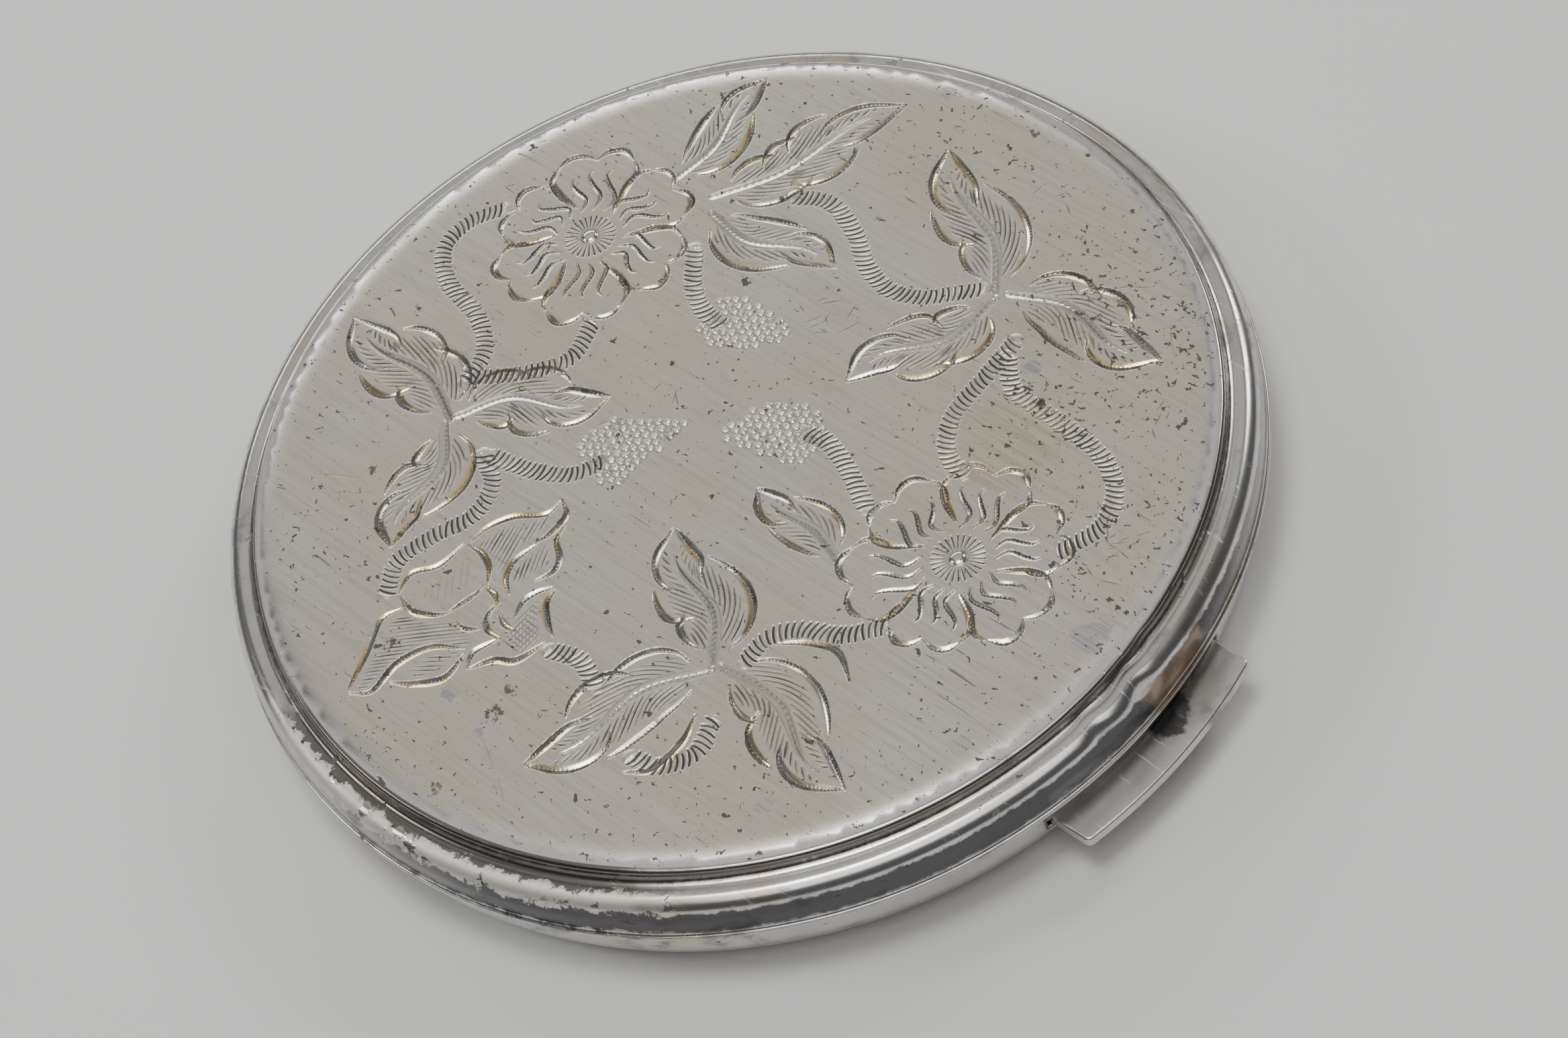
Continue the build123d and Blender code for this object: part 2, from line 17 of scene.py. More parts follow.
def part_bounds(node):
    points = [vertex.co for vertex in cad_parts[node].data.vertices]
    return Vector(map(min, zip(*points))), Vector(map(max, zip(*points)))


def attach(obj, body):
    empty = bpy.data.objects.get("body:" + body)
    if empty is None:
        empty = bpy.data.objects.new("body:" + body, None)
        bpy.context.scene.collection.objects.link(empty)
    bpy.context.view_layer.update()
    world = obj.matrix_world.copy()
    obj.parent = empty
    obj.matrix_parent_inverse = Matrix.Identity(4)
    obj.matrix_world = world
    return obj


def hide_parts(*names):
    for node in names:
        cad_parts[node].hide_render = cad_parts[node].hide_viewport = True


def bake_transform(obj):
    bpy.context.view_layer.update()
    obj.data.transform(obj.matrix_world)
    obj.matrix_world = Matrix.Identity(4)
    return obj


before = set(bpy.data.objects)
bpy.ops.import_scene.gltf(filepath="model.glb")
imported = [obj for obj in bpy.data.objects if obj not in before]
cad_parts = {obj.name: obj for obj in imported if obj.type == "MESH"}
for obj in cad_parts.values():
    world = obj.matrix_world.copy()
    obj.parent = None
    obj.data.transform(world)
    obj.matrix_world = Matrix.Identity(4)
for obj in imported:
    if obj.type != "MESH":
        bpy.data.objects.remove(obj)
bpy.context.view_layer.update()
MM = 0.001

# ---- sizes read from the frame --------------------------------------------------------------------
LID_LOW, LID_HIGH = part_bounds("lid_shell")
BASE_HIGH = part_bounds("base_shell")[1]
TOP = LID_HIGH.z / MM
LIP_RADIUS = LID_HIGH.x / MM
LIP_BOTTOM = LID_LOW.z / MM
BASE_RADIUS = BASE_HIGH.x / MM
BASE_TOP = BASE_HIGH.z / MM

rng = np.random.default_rng(7)  # one seed, so that every run draws the same marks


# ==== Drawing in relief: the engraving is cut into a square lattice of heights, in millimetres ====

STEP = 0.0625  # lattice spacing
COARSE = 10  # lattice steps in one plain cell
FLAT_RADIUS = 34.6  # where the plateau ends and the shoulder begins
CELLS = 2 * int(math.ceil(FLAT_RADIUS / (STEP * COARSE)))
SIDE = CELLS * COARSE + 1
ORIGIN = -CELLS * COARSE * STEP / 2
AXIS = ORIGIN + STEP * np.arange(SIDE)

height = np.zeros((SIDE, SIDE), np.float32)  # [x, y]
gilt = np.zeros((SIDE, SIDE), np.float32)  # bright-cut facets that show brass
dark = np.zeros((SIDE, SIDE), np.float32)  # tarnish held in the cuts
bright = np.zeros((SIDE, SIDE), np.float32)  # smooth burnished facets, against the brushed plate


def smooth(points, per_mm=4.0):
    """A Catmull-Rom line through a few points, sampled about every 1 / per_mm."""
    p = np.asarray(points, float)
    p = np.vstack([2 * p[0] - p[1], p, 2 * p[-1] - p[-2]])
    out = []
    for a, b, c, d in zip(p, p[1:], p[2:], p[3:]):
        n = max(2, int(np.linalg.norm(c - b) * per_mm))
        t = np.linspace(0, 1, n, endpoint=False)[:, None]
        out.append(0.5 * (2 * b + (c - a) * t + (2 * a - 5 * b + 4 * c - d) * t**2
                          + (3 * b - a - 3 * c + d) * t**3))
    return np.vstack(out + [p[-2][None]])


def window(low, high):
    """Slices of the lattice that cover a box."""
    i0, j0 = np.maximum(np.floor((low - ORIGIN) / STEP).astype(int), 0)
    i1, j1 = np.minimum(np.ceil((high - ORIGIN) / STEP).astype(int) + 1, SIDE)
    return slice(i0, i1), slice(j0, j1)


def groove(line, widths, depth, lean=0.0, tint=0.0, stain=0.0):
    """Cuts a groove of varying half-width along a line. lean, from -1 to 1, moves its deepest line to the
    right or left, so that the cut has one broad bright facet and one steep dark wall. tint and stain mark
    gilt and tarnish: in a leaning cut the tarnish keeps to the steep wall."""
    for k in range(len(line) - 1):
        a, b = line[k], line[k + 1]
        wide = max(widths[k], widths[k + 1])
        if wide < STEP / 4:
            continue
        cut = window(np.minimum(a, b) - wide, np.maximum(a, b) + wide)
        x, y = AXIS[cut[0]][:, None] - a[0], AXIS[cut[1]][None] - a[1]
        run = b - a
        length = max(np.hypot(*run), 1e-6)
        along = np.clip((x * run[0] + y * run[1]) / length**2, 0, 1)
        dx, dy = x - along * run[0], y - along * run[1]
        half = widths[k] + (widths[k + 1] - widths[k]) * along
        q = np.sign(run[0] * y - run[1] * x) * np.hypot(dx, dy) / np.maximum(half, 1e-6)
        within = np.abs(q) < 1
        fall = np.where(q < lean, (1 + q) / (1 + lean + 1e-6), (1 - q) / (1 - lean + 1e-6))
        fall = np.where(within, fall, 0) * np.minimum(half / wide, 1)
        height[cut] = np.minimum(height[cut], -depth * fall)
        broad = within & (q * math.copysign(1, lean) < abs(lean)) if lean else within & (q < -1)
        bright[cut] = np.maximum(bright[cut], np.where(broad, 1.0, 0.0))
        if tint:
            gilt[cut] = np.maximum(gilt[cut], np.where(broad, tint, 0))
        if stain:
            held = np.clip(fall * 2.2 - 0.3, 0, 1) if lean == 0 else np.where(within & ~broad, 1.0, 0.0)
            dark[cut] = np.maximum(dark[cut], stain * held)


def taper(line, wide, start=0.1, peak=0.5, end=0.1):
    """Half-widths for a line that swell from one end to the other."""
    t = np.linspace(0, 1, len(line))
    rise = start + (1 - start) * np.sin(np.clip(t / peak, 0, 1) * math.pi / 2)
    drop = end + (1 - end) * np.sin(np.clip((1 - t) / (1 - peak), 0, 1) * math.pi / 2)
    return wide * np.minimum(rise, drop)


def crescent(points, wide=0.3, lean=0.45, peak=0.5, depth=0.13, tint=0.8, stain=0.9):
    """One bright cut: a tapered stroke with a broad facet and a thin dark outer wall."""
    line = smooth(points)
    groove(line, taper(line, wide, 0.15, peak, 0.15), depth, lean, tint, stain)


def left_of(line):
    """At each point of a line, the unit vector to its left."""
    run = np.gradient(line, axis=0)
    run /= np.maximum(np.hypot(run[:, 0], run[:, 1]), 1e-9)[:, None]
    return np.stack([-run[:, 1], run[:, 0]], 1)


def offset_line(line, by):
    """The line moved sideways, to its left where by is positive."""
    return line + left_of(line) * np.asarray(by)[..., None]


def between(where, stops, pairs):
    """Pairs of numbers read off between their stops."""
    return np.stack([np.interp(where, stops, pairs[:, k]) for k in (0, 1)], -1)


def scratch_stroke(a, b, wide=0.075, depth=0.035, stain=0.8, bow=0.0):
    """One hatch line."""
    a, b = np.asarray(a, float), np.asarray(b, float)
    middle = (a + b) / 2 + np.array([a[1] - b[1], b[0] - a[0]]) * bow
    line = smooth([a, middle, b], 1.5)
    groove(line, taper(line, wide, 0.35, 0.5, 0.35), depth, stain=stain)


# ---- leaves ---------------------------------------------------------------------------------------

HATCH_PITCH = 0.34  # millimetres between hatch lines


def leaf(base, tip, half_width, left, right, bend=0.6, rib=0.40):
    """A pointed leaf: an S-shaped midrib, and on each side lobes with a bright-cut edge and hatching."""
    base, tip = np.asarray(base, float), np.asarray(tip, float)
    span = np.linalg.norm(tip - base)
    ahead = (tip - base) / span
    across = np.array([-ahead[1], ahead[0]])
    axis = smooth([base, base + ahead * span * 0.35 + across * bend * 1.3,
                   base + ahead * span * 0.72 - across * bend * 0.6, tip], 8.0)
    axis_t = np.linspace(0, 1, len(axis))
    normal = left_of(axis)

    def place(t, out):
        t = np.clip(t, 0, 1)
        return between(t, axis_t, axis) + between(t, axis_t, normal) * np.asarray(out)[..., None]

    def spread(t):
        return half_width * (0.50 + 0.50 * np.sin(np.clip(t / 0.62, 0, 1) * math.pi / 2)) \
            * np.clip((1 - t) / 0.42, 0, 1) ** 0.55

    for side, lobes in ((1, left), (-1, right)):
        starts = np.linspace(0.10, 0.58, lobes)
        ends = np.append(starts[1:] + 0.10, 1.0)
        for k, (t0, t1) in enumerate(zip(starts, ends)):
            last = k == lobes - 1
            u = np.linspace(0, 1, 9)
            t = t0 + (t1 - t0) * u
            top = spread(t0 + (t1 - t0) * 0.55)
            out = top * (0.42 + 0.58 * np.sin(math.pi * 0.8 * u**0.75))
            if last:
                out = out * (1 - u**1.9)
            points = place(t, side * out)
            wide = 0.27 + 0.13 * rng.random()
            crescent(points, wide, side * 0.5, 0.45 + 0.25 * rng.random(), tint=0.35 + 0.65 * rng.random())
            hatch_lobe(place, side, t0, t1, t, out, span, rib)

    line = place(np.linspace(0.0, 0.82, 24), np.zeros(24))
    groove(line, taper(line, rib, 0.8, 0.3, 0.12), 0.10, 0.55, 0.15, 0.55)
    groove(offset_line(line, -taper(line, rib * 1.05, 0.8, 0.3, 0.12)), taper(line, 0.06), 0.03, stain=0.7)


def hatch_lobe(place, side, t0, t1, t, out, span, rib):
    """Hatch lines that leave the midrib at a slant and stop short of the lobe's edge."""
    slant = rng.uniform(1.5, 2.6)
    step = HATCH_PITCH * math.hypot(1, slant) / span
    for t_line in np.arange(t0 - slant * out.max() / span, t1 - 0.08, step):
        reach = np.linspace(0.0, 1.0, 40)
        o = rib * 1.2 + reach * out.max()
        tt = t_line + slant * (o - rib) / span
        edge = np.interp(tt, t, out, left=out[0] * 0.6, right=0) * 0.86 - 0.15
        good = (o < edge) & (tt > t0 - 0.02) & (tt < t1)
        if good.sum() < 4:
            continue
        o, tt = o[good], tt[good]
        trim = rng.uniform(0.0, 0.12, 2)
        i0, i1 = int(trim[0] * len(o)), max(int((1 - trim[1]) * len(o)) - 1, 1)
        line = place(tt[i0:i1 + 1], side * o[i0:i1 + 1])
        if len(line) < 3:
            continue
        strong = rng.uniform(0.65, 1.0)
        line = line[:: max(len(line) // 6, 1)]
        groove(line, taper(line, 0.12, 0.6, 0.5, 0.5), 0.06 * strong, stain=strong)


# ---- flowers, vines, berries ------------------------------------------------------------------------

def polar(centre, r, angle):
    return np.array([centre[0] + r * math.cos(angle), centre[1] + r * math.sin(angle)])


def flower(centre, turn, size=7.8):
    """Six wavy petals around a ribbed button."""
    petals = 6
    for k in range(petals):
        mid = turn + 2 * math.pi * k / petals
        half = math.pi / petals * rng.uniform(0.94, 1.04)
        grow = size * rng.uniform(0.93, 1.04)
        flick = rng.choice([-1, 1])

        def petal(*stops):
            return [polar(centre, grow * r, mid + half * swing) for r, swing in stops]

        crescent(petal((0.38, 0.74), (0.52, 0.94), (0.68, 1.03), (0.83, 0.98), (0.94, 0.74)), 0.34, 0.5, 0.45,
                 tint=0.95)
        crescent(petal((0.94, 0.74), (1.00, 0.48), (0.98, 0.2), (0.91, 0.02 * flick)), 0.27, 0.5, 0.35,
                 tint=0.35)
        crescent(petal((0.91, 0.02 * flick), (1.0, -0.22), (1.02, -0.5), (0.93, -0.78)), 0.32, 0.5, 0.6,
                 tint=0.5)
        crescent(petal((0.93, -0.78), (0.84, -0.96), (0.70, -0.99), (0.60, -0.88)), 0.27, 0.5, 0.6, tint=0.7)
        for swing in (-0.52, 0.0, 0.52):
            sway = 0.16 * flick * rng.uniform(0.7, 1.2)
            end = rng.uniform(0.72, 0.82) * grow
            stroke = [polar(centre, 2.5 + (end - 2.5) * far, mid + half * swing * wide + off)
                      for far, wide, off in ((0, 1.25, 0), (0.3, 1.1, sway), (0.62, 0.95, -0.15 * sway),
                                             (0.85, 0.9, -0.5 * sway), (1, 0.95, -0.2 * sway))]
            crescent(stroke, 0.22, 0.35 * flick, 0.5, 0.10, 0.2, 1.0)
    ticks = 26
    for k in range(ticks):
        angle = 2 * math.pi * k / ticks
        line = np.array([polar(centre, r, angle) for r in (0.72, 1.1, 1.5, 1.88)])
        groove(line, np.array([0.04, 0.075, 0.10, 0.12]), 0.09, stain=1.0)
    ring = np.array([polar(centre, 0.68, a) for a in np.linspace(0, 2 * math.pi, 25)])
    groove(ring, np.full(25, 0.08), 0.04, stain=0.6)
    dome(centre, 0.60, 0.20)


def dome(centre, radius, rise, shine=1.0):
    """A round burnished bead."""
    cut = window(np.asarray(centre) - radius, np.asarray(centre) + radius)
    q = np.hypot(AXIS[cut[0]][:, None] - centre[0], AXIS[cut[1]][None] - centre[1]) / radius
    height[cut] = np.where(q < 1, rise * np.sqrt(np.clip(1 - q**2, 0, 1)), height[cut])
    dark[cut] = np.where(q < 1, 0, dark[cut])
    bright[cut] = np.where(q < 1, shine, bright[cut])


VINE_RISE = 0.07  # millimetres that a stem stands up


def vine(points, half=0.62, pitch=0.45):
    """A stem drawn as a close row of curved cuts, like a coil."""
    line = smooth(points, 8.0)
    far = np.concatenate([[0], np.cumsum(np.hypot(*np.diff(line, axis=0).T))])
    normal = left_of(line)
    for a, b in zip(line, line[1:]):
        cut = window(np.minimum(a, b) - half, np.maximum(a, b) + half)
        q = np.hypot(AXIS[cut[0]][:, None] - (a[0] + b[0]) / 2, AXIS[cut[1]][None] - (a[1] + b[1]) / 2) / half
        height[cut] = np.maximum(height[cut], VINE_RISE * np.sqrt(np.clip(1 - q**2, 0, 1)))
    for s in np.arange(pitch / 2, far[-1], pitch):
        at, n = between(s, far, line), between(s, far, normal)
        ahead = np.array([n[1], -n[0]])
        lean = 0.16 + 0.05 * rng.standard_normal()
        reach = half * rng.uniform(0.92, 1.05)
        tick = [at + n * reach * v + ahead * (lean * v + 0.10 * (1 - v * v)) for v in (-1, -0.4, 0.4, 1)]
        stroke = smooth(tick, 5.0)
        groove(stroke, taper(stroke, 0.15, 0.9, 0.5, 0.9), 0.11, stain=rng.uniform(0.9, 1.15))


def inside(points, x, y):
    """Which points lie in a polygon, by counting crossings."""
    p = np.asarray(points, float)
    hit = np.zeros(np.broadcast(x, y).shape, bool)
    for a, b in zip(p, np.roll(p, -1, 0)):
        crosses = (a[1] > y) != (b[1] > y)
        at = a[0] + (y - a[1]) * (b[0] - a[0]) / np.where(b[1] == a[1], 1e-9, b[1] - a[1])
        hit ^= crosses & (x < at)
    return hit


def berries(points, pitch=0.66, radius=0.25):
    """Small round beads in staggered rows, inside a polygon."""
    low, high = np.min(points, 0), np.max(points, 0)
    for row, y in enumerate(np.arange(low[1], high[1], pitch * 0.87)):
        for x in np.arange(low[0] + (row % 2) * pitch / 2, high[0], pitch):
            at = np.array([x, y]) + rng.normal(0, 0.06, 2)
            if not inside(points, at[0], at[1]):
                continue
            dome(at, radius * rng.uniform(0.9, 1.08), 0.11, 0.3)
            arc = np.array([polar(at, radius * 1.15, a) for a in np.linspace(2.6, 5.8, 8)])
            groove(arc, np.full(8, 0.06), 0.03, stain=0.7)


def hatch_area(points, angle, pitch=HATCH_PITCH, strong=0.9):
    """Straight hatching over a polygon."""
    p = np.asarray(points, float)
    ahead = np.array([math.cos(angle), math.sin(angle)])
    across = np.array([-ahead[1], ahead[0]])
    along, off = p @ ahead, p @ across
    for level in np.arange(off.min() + pitch / 2, off.max(), pitch):
        hits = []
        for k in range(len(p)):
            a, b = k, (k + 1) % len(p)
            if (off[a] > level) != (off[b] > level):
                hits.append(along[a] + (level - off[a]) * (along[b] - along[a]) / (off[b] - off[a]))
        hits.sort()
        for s0, s1 in zip(hits[::2], hits[1::2]):
            if s1 - s0 < 0.35:
                continue
            trim = rng.uniform(0.02, 0.12, 2) * (s1 - s0)
            ends = [ahead * s + across * (level + 0.02 * rng.standard_normal())
                    for s in (s0 + trim[0], s1 - trim[1])]
            scratch_stroke(*ends, 0.11, 0.05, strong * rng.uniform(0.75, 1.2), 0.01)


def bud(cx, cy):
    """A half-open bud between two winged sepals. Its strokes are placed about the point under the bud."""
    def at(points):
        return [(cx + x, cy + y) for x, y in points]

    strokes = (
        # half-width, lean, points
        (0.34, -0.5, ((-10.3, 8.0), (-7.6, 9.1), (-4.8, 10.3), (-3.2, 9.7))),
        (0.36, 0.5, ((-10.4, 7.8), (-9.3, 6.5), (-6.7, 6.6), (-4.4, 5.6), (-3.0, 3.4))),
        (0.36, 0.5, ((-8.1, 6.0), (-7.2, 4.4), (-5.6, 2.9), (-3.4, 3.1))),
        (0.32, 0.5, ((-2.5, 10.7), (-3.0, 9.0), (-2.5, 7.6), (-1.7, 6.6))),
        (0.26, -0.5, ((-2.5, 10.8), (-0.7, 11.3), (0.9, 10.1), (3.3, 9.8))),
        (0.28, -0.5, ((3.3, 9.7), (3.4, 8.2), (2.8, 6.8), (1.6, 5.8))),
        (0.20, 0.4, ((-1.7, 6.6), (-0.5, 6.3), (0.7, 6.0), (1.5, 6.1))),
        (0.24, 0.5, ((-1.8, 5.8), (-1.9, 4.6), (-1.2, 3.6))),
        (0.24, -0.5, ((1.5, 6.0), (1.4, 4.8), (0.9, 4.1))),
        (0.32, -0.5, ((3.6, 9.5), (5.2, 9.4), (7.0, 8.4), (8.4, 6.6), (9.9, 6.4))),
        (0.32, -0.5, ((9.9, 6.4), (9.1, 5.2), (7.4, 5.1), (6.2, 5.4))),
        (0.28, -0.5, ((1.9, 3.9), (2.9, 5.2), (4.3, 5.7), (6.2, 5.3))),
        (0.28, -0.5, ((8.6, 4.7), (7.2, 4.3), (6.3, 3.1), (5.2, 2.6), (3.8, 3.2))),
        (0.26, -0.4, ((-4.2, 2.1), (-2.9, 2.7), (-1.1, 2.0))),
        (0.36, 0.5, ((-4.1, 2.0), (-2.6, 1.0), (-1.7, -0.4), (0.6, -1.1))),
        (0.26, -0.4, ((0.7, 2.2), (2.1, 2.7), (3.3, 2.4), (4.3, 1.6))),
        (0.34, 0.5, ((4.3, 1.5), (2.9, 1.2), (1.9, 0.1), (1.2, -1.2))),
        (0.26, 0.5, ((-1.0, 1.7), (-1.0, 3.2), (0.0, 4.0), (1.2, 4.1))),
        (0.24, 0.5, ((0.1, 1.2), (0.0, 2.4), (0.5, 3.6))),
    )
    for wide, lean, points in strokes:
        crescent(at(points), wide, lean, tint=0.95)
    seed_case = ((-1.4, 1.8), (3.2, 2.1), (1.4, 0.4), (0.8, -0.8), (-1.2, -0.3))
    areas = (
        # slant, pitch, strength, outline
        (-0.85, 0.30, 0.95, ((-9.9, 7.6), (-4.8, 9.8), (-3.4, 9.2), (-3.2, 7.6), (-1.6, 5.4), (-1.5, 3.2),
                             (-2.8, 3.4), (-4.2, 5.9), (-6.6, 7.0), (-9.2, 7.0))),
        (-0.95, 0.34, 0.85, ((-7.0, 5.8), (-4.9, 5.4), (-3.5, 3.5), (-5.2, 3.4), (-6.6, 4.6))),
        (0.28, 0.32, 0.9, ((3.7, 9.0), (6.4, 8.3), (8.6, 6.2), (6.4, 5.8), (4.4, 6.1), (2.6, 5.6), (2.0, 4.6),
                           (3.2, 7.0))),
        (0.45, 0.32, 0.9, ((2.6, 4.5), (4.4, 5.2), (7.0, 4.9), (5.4, 3.3), (3.6, 3.6))),
        (0.7, 0.5, 0.35, ((-2.2, 9.4), (0.8, 9.4), (2.8, 8.6), (1.4, 6.6), (-1.2, 7.0))),
        (0.0, 0.36, 0.7, seed_case),
        (1.5, 0.36, 0.6, seed_case),
    )
    for slant, pitch, strong, outline in areas:
        hatch_area(at(outline), slant, pitch, strong)


LEAVES = (
    # base, tip, half-width, lobes left and right of the midrib, bend
    ((-10.0, 18.5), (-7.4, 31.8), 3.2, 3, 3, -0.7),
    ((-10.6, 18.6), (-20.5, 14.2), 2.6, 2, 3, 0.9),
    ((-9.6, 18.3), (-2.0, 9.8), 2.9, 3, 3, 0.8),
    ((-15.0, -12.5), (-27.9, -6.8), 3.2, 2, 3, -0.9),
    ((-14.6, -12.2), (-7.8, -2.1), 3.0, 3, 2, -0.8),
    ((-14.4, -12.9), (-16.8, -26.5), 2.9, 2, 3, 0.8),
    ((20.0, -8.0), (28.4, 3.8), 2.9, 3, 2, -0.8),
    ((19.4, -8.2), (8.3, -4.0), 2.8, 3, 3, 0.9),
    ((20.4, -8.8), (21.8, -21.8), 3.0, 3, 2, 0.8),
    ((15.6, 19.6), (26.3, 20.3), 2.2, 2, 2, -0.5),
    ((15.6, 16.0), (30.0, 9.3), 2.9, 4, 3, -0.6),
    ((14.4, 15.0), (15.6, 3.5), 2.4, 2, 2, -0.7),
    ((-3.4, -13.6), (-2.1, -4.9), 2.0, 2, 2, -0.4),
)

VINES = (
    ((-7.0, 20.0), (-4.2, 20.8), (-2.2, 23.6), (-1.1, 27.8), (1.0, 30.4), (3.8, 30.6), (6.2, 29.2)),
    ((-6.4, 19.8), (-4.2, 17.0), (-1.2, 14.8), (2.0, 15.6)),
    ((-10.9, 14.2), (-12.4, 11.8), (-15.2, 11.0), (-18.0, 12.2), (-21.0, 12.9), (-23.4, 11.6)),
    ((-10.7, 13.6), (-9.9, 10.0), (-8.6, 7.4), (-6.4, 6.2)),
    ((11.3, 13.8), (8.6, 11.4), (7.4, 9.2), (7.2, 7.4)),
    ((18.9, 10.6), (19.9, 8.0), (18.8, 4.6), (16.9, 1.6), (16.2, -1.2), (16.9, -3.6), (18.4, -5.4),
     (19.8, -6.9)),
    ((17.6, -12.0), (14.0, -12.2), (10.2, -12.5), (7.6, -14.2), (6.8, -16.4)),
    ((16.2, -12.4), (14.2, -14.8), (13.8, -19.0), (13.2, -23.4), (11.4, -26.2), (8.6, -27.2), (5.6, -26.2)),
    ((0.9, -12.6), (2.6, -9.4), (3.6, -6.6), (3.4, -4.6)),
    ((-5.6, -20.2), (-7.8, -18.2), (-9.0, -15.6), (-10.8, -14.0), (-13.2, -14.0)),
    ((-20.2, -1.8), (-19.6, -4.2), (-20.6, -6.6)),
    ((-23.2, -12.6), (-22.6, -14.8), (-20.4, -16.1), (-18.0, -15.4)),
)

BERRY_PATCHES = (
    ((-8.1, 5.4), (-6.4, 8.9), (-3.2, 8.5), (-0.6, 3.4), (-4.8, 3.4), (-7.6, 3.6)),
    ((4.8, 6.4), (6.0, 8.5), (8.8, 8.9), (10.2, 7.0), (9.9, 3.0), (9.0, 2.0), (7.0, 3.5)),
    ((-0.3, 0.7), (0.2, -3.4), (0.9, -6.4), (3.0, -6.5), (5.2, -5.0), (5.0, -2.6), (3.2, 0.0)),
)

FLOWERS = (((7.9, 21.5), 1.75), ((1.3, -20.7), 1.4))  # middle and turn
BUD_FOOT = (-20.5, 0.0)
LOOSE_STROKES = (
    # points, half-width, lean
    (((-24.4, -13.0), (-23.0, -14.6), (-20.4, -14.8), (-18.2, -14.0)), 0.42, 0.4),
    (((-11.0, -14.6), (-9.6, -16.6), (-9.0, -18.8), (-10.4, -21.2)), 0.32, -0.4),
)

for shape in LEAVES:
    leaf(*shape)
for centre, turn in FLOWERS:
    flower(centre, turn)
for points in BERRY_PATCHES:
    berries(points)
for points in VINES:
    vine(points)
bud(*BUD_FOOT)
for points, wide, lean in LOOSE_STROKES:
    crescent(points, wide, lean)

# middle of a group of scratches, how far it spreads, their number and length, in millimetres
SCRATCHES = (
    ((8.2, -29.2), 3.0, 16, 1.3), ((18.6, -25.8), 2.2, 12, 1.2), ((12.2, 1.0), 2.6, 12, 1.5),
    ((24.0, -16.0), 3.0, 9, 1.4), ((-1.0, 6.5), 4.0, 7, 1.2), ((28.5, -6.5), 2.5, 6, 1.0),
)
LONG_SCRATCHES = (
    ((-27.9, -2.3), (-29.6, -5.6)), ((-29.7, -6.0), (-31.0, -7.9)), ((-19.2, 23.8), (-17.6, 20.6)),
    ((11.3, -21.1), (14.9, -19.4)), ((-2.0, 0.6), (-4.4, 3.8)), ((22.4, -22.6), (24.8, -20.2)),
)
SCRATCH_LIMIT = 32.2  # the drawing stays clear of the plateau's rounded edge
for (x, y), spread, count, length in SCRATCHES:
    for _ in range(count):
        slant = rng.choice((-0.05, -1.85, -0.9)) + rng.normal(0, 0.35)
        middle = np.array([x, y]) + rng.normal(0, spread / 2, 2)
        half = length * rng.uniform(0.25, 0.65) * np.array([math.cos(slant), math.sin(slant)])
        bow = rng.uniform(-0.06, 0.06)
        if max(np.hypot(*(middle - half)), np.hypot(*(middle + half))) < SCRATCH_LIMIT:
            scratch_stroke(middle - half, middle + half, 0.07, 0.03, 0.9, bow)
for a, b in LONG_SCRATCHES:
    scratch_stroke(a, b, 0.09, 0.03, 0.35, 0.04)


def softened(field):
    """The field after one pass of a small binomial blur, which rounds the burrs of the cuts."""
    for axis in (0, 1):
        field = (np.roll(field, 1, axis) + 2 * field + np.roll(field, -1, axis)) / 4
    return field


height = softened(height)
bright = softened(bright)

# ==== Meshes ====


def new_object(name, verts, faces, materials, smooth_faces=True):
    mesh = bpy.data.meshes.new(name)
    mesh.from_pydata([tuple(v) for v in verts], [], faces)
    mesh.validate()
    obj = bpy.data.objects.new(name, mesh)
    bpy.context.scene.collection.objects.link(obj)
    for m in materials:
        mesh.materials.append(m)
    mesh.polygons.foreach_set("use_smooth", [smooth_faces] * len(mesh.polygons))
    mesh.update()
    return obj


def arc(centre, radius, start, stop, steps=8):
    """Points of an arc in a section, as (radius, height), from one angle in degrees to another."""
    a = np.radians(np.linspace(start, stop, steps))
    return [(centre[0] + radius * math.cos(t), centre[1] + radius * math.sin(t)) for t in a]


ROLL_START = 33.0  # radius where the plateau begins to fall away
ROLL_DROP = 0.22


def undulation(x, y):
    """Gentle waves of worn sheet, which falls away a little towards the plateau's edge, in millimetres."""
    fall = np.clip((np.hypot(x, y) - ROLL_START) / (FLAT_RADIUS - ROLL_START), 0, 1)
    return (-ROLL_DROP * fall**2 + 0.010 * np.sin(0.21 * x + 0.13 * y + 0.6)
            + 0.008 * np.sin(-0.17 * x + 0.29 * y + 2.0) + 0.004 * np.sin(0.55 * x - 0.31 * y + 1.0)
            + 0.003 * np.sin(0.4 * x + 0.62 * y))


# angle round the lid, height, how far it reaches round and up, depth
DENTS = (
    (-88.5, 8.2, 1.9, 1.0, 0.46),
    (-84.5, 7.2, 2.6, 0.9, 0.26),
    (-95.0, 8.4, 1.4, 0.8, 0.26),
    (-84.0, 9.6, 1.6, 0.9, 0.12),
    (-150.0, 7.0, 2.5, 1.2, 0.10),
    (-33.0, 7.2, 1.6, 1.0, 0.08),
    (128.0, 7.6, 2.0, 1.2, 0.06),
)


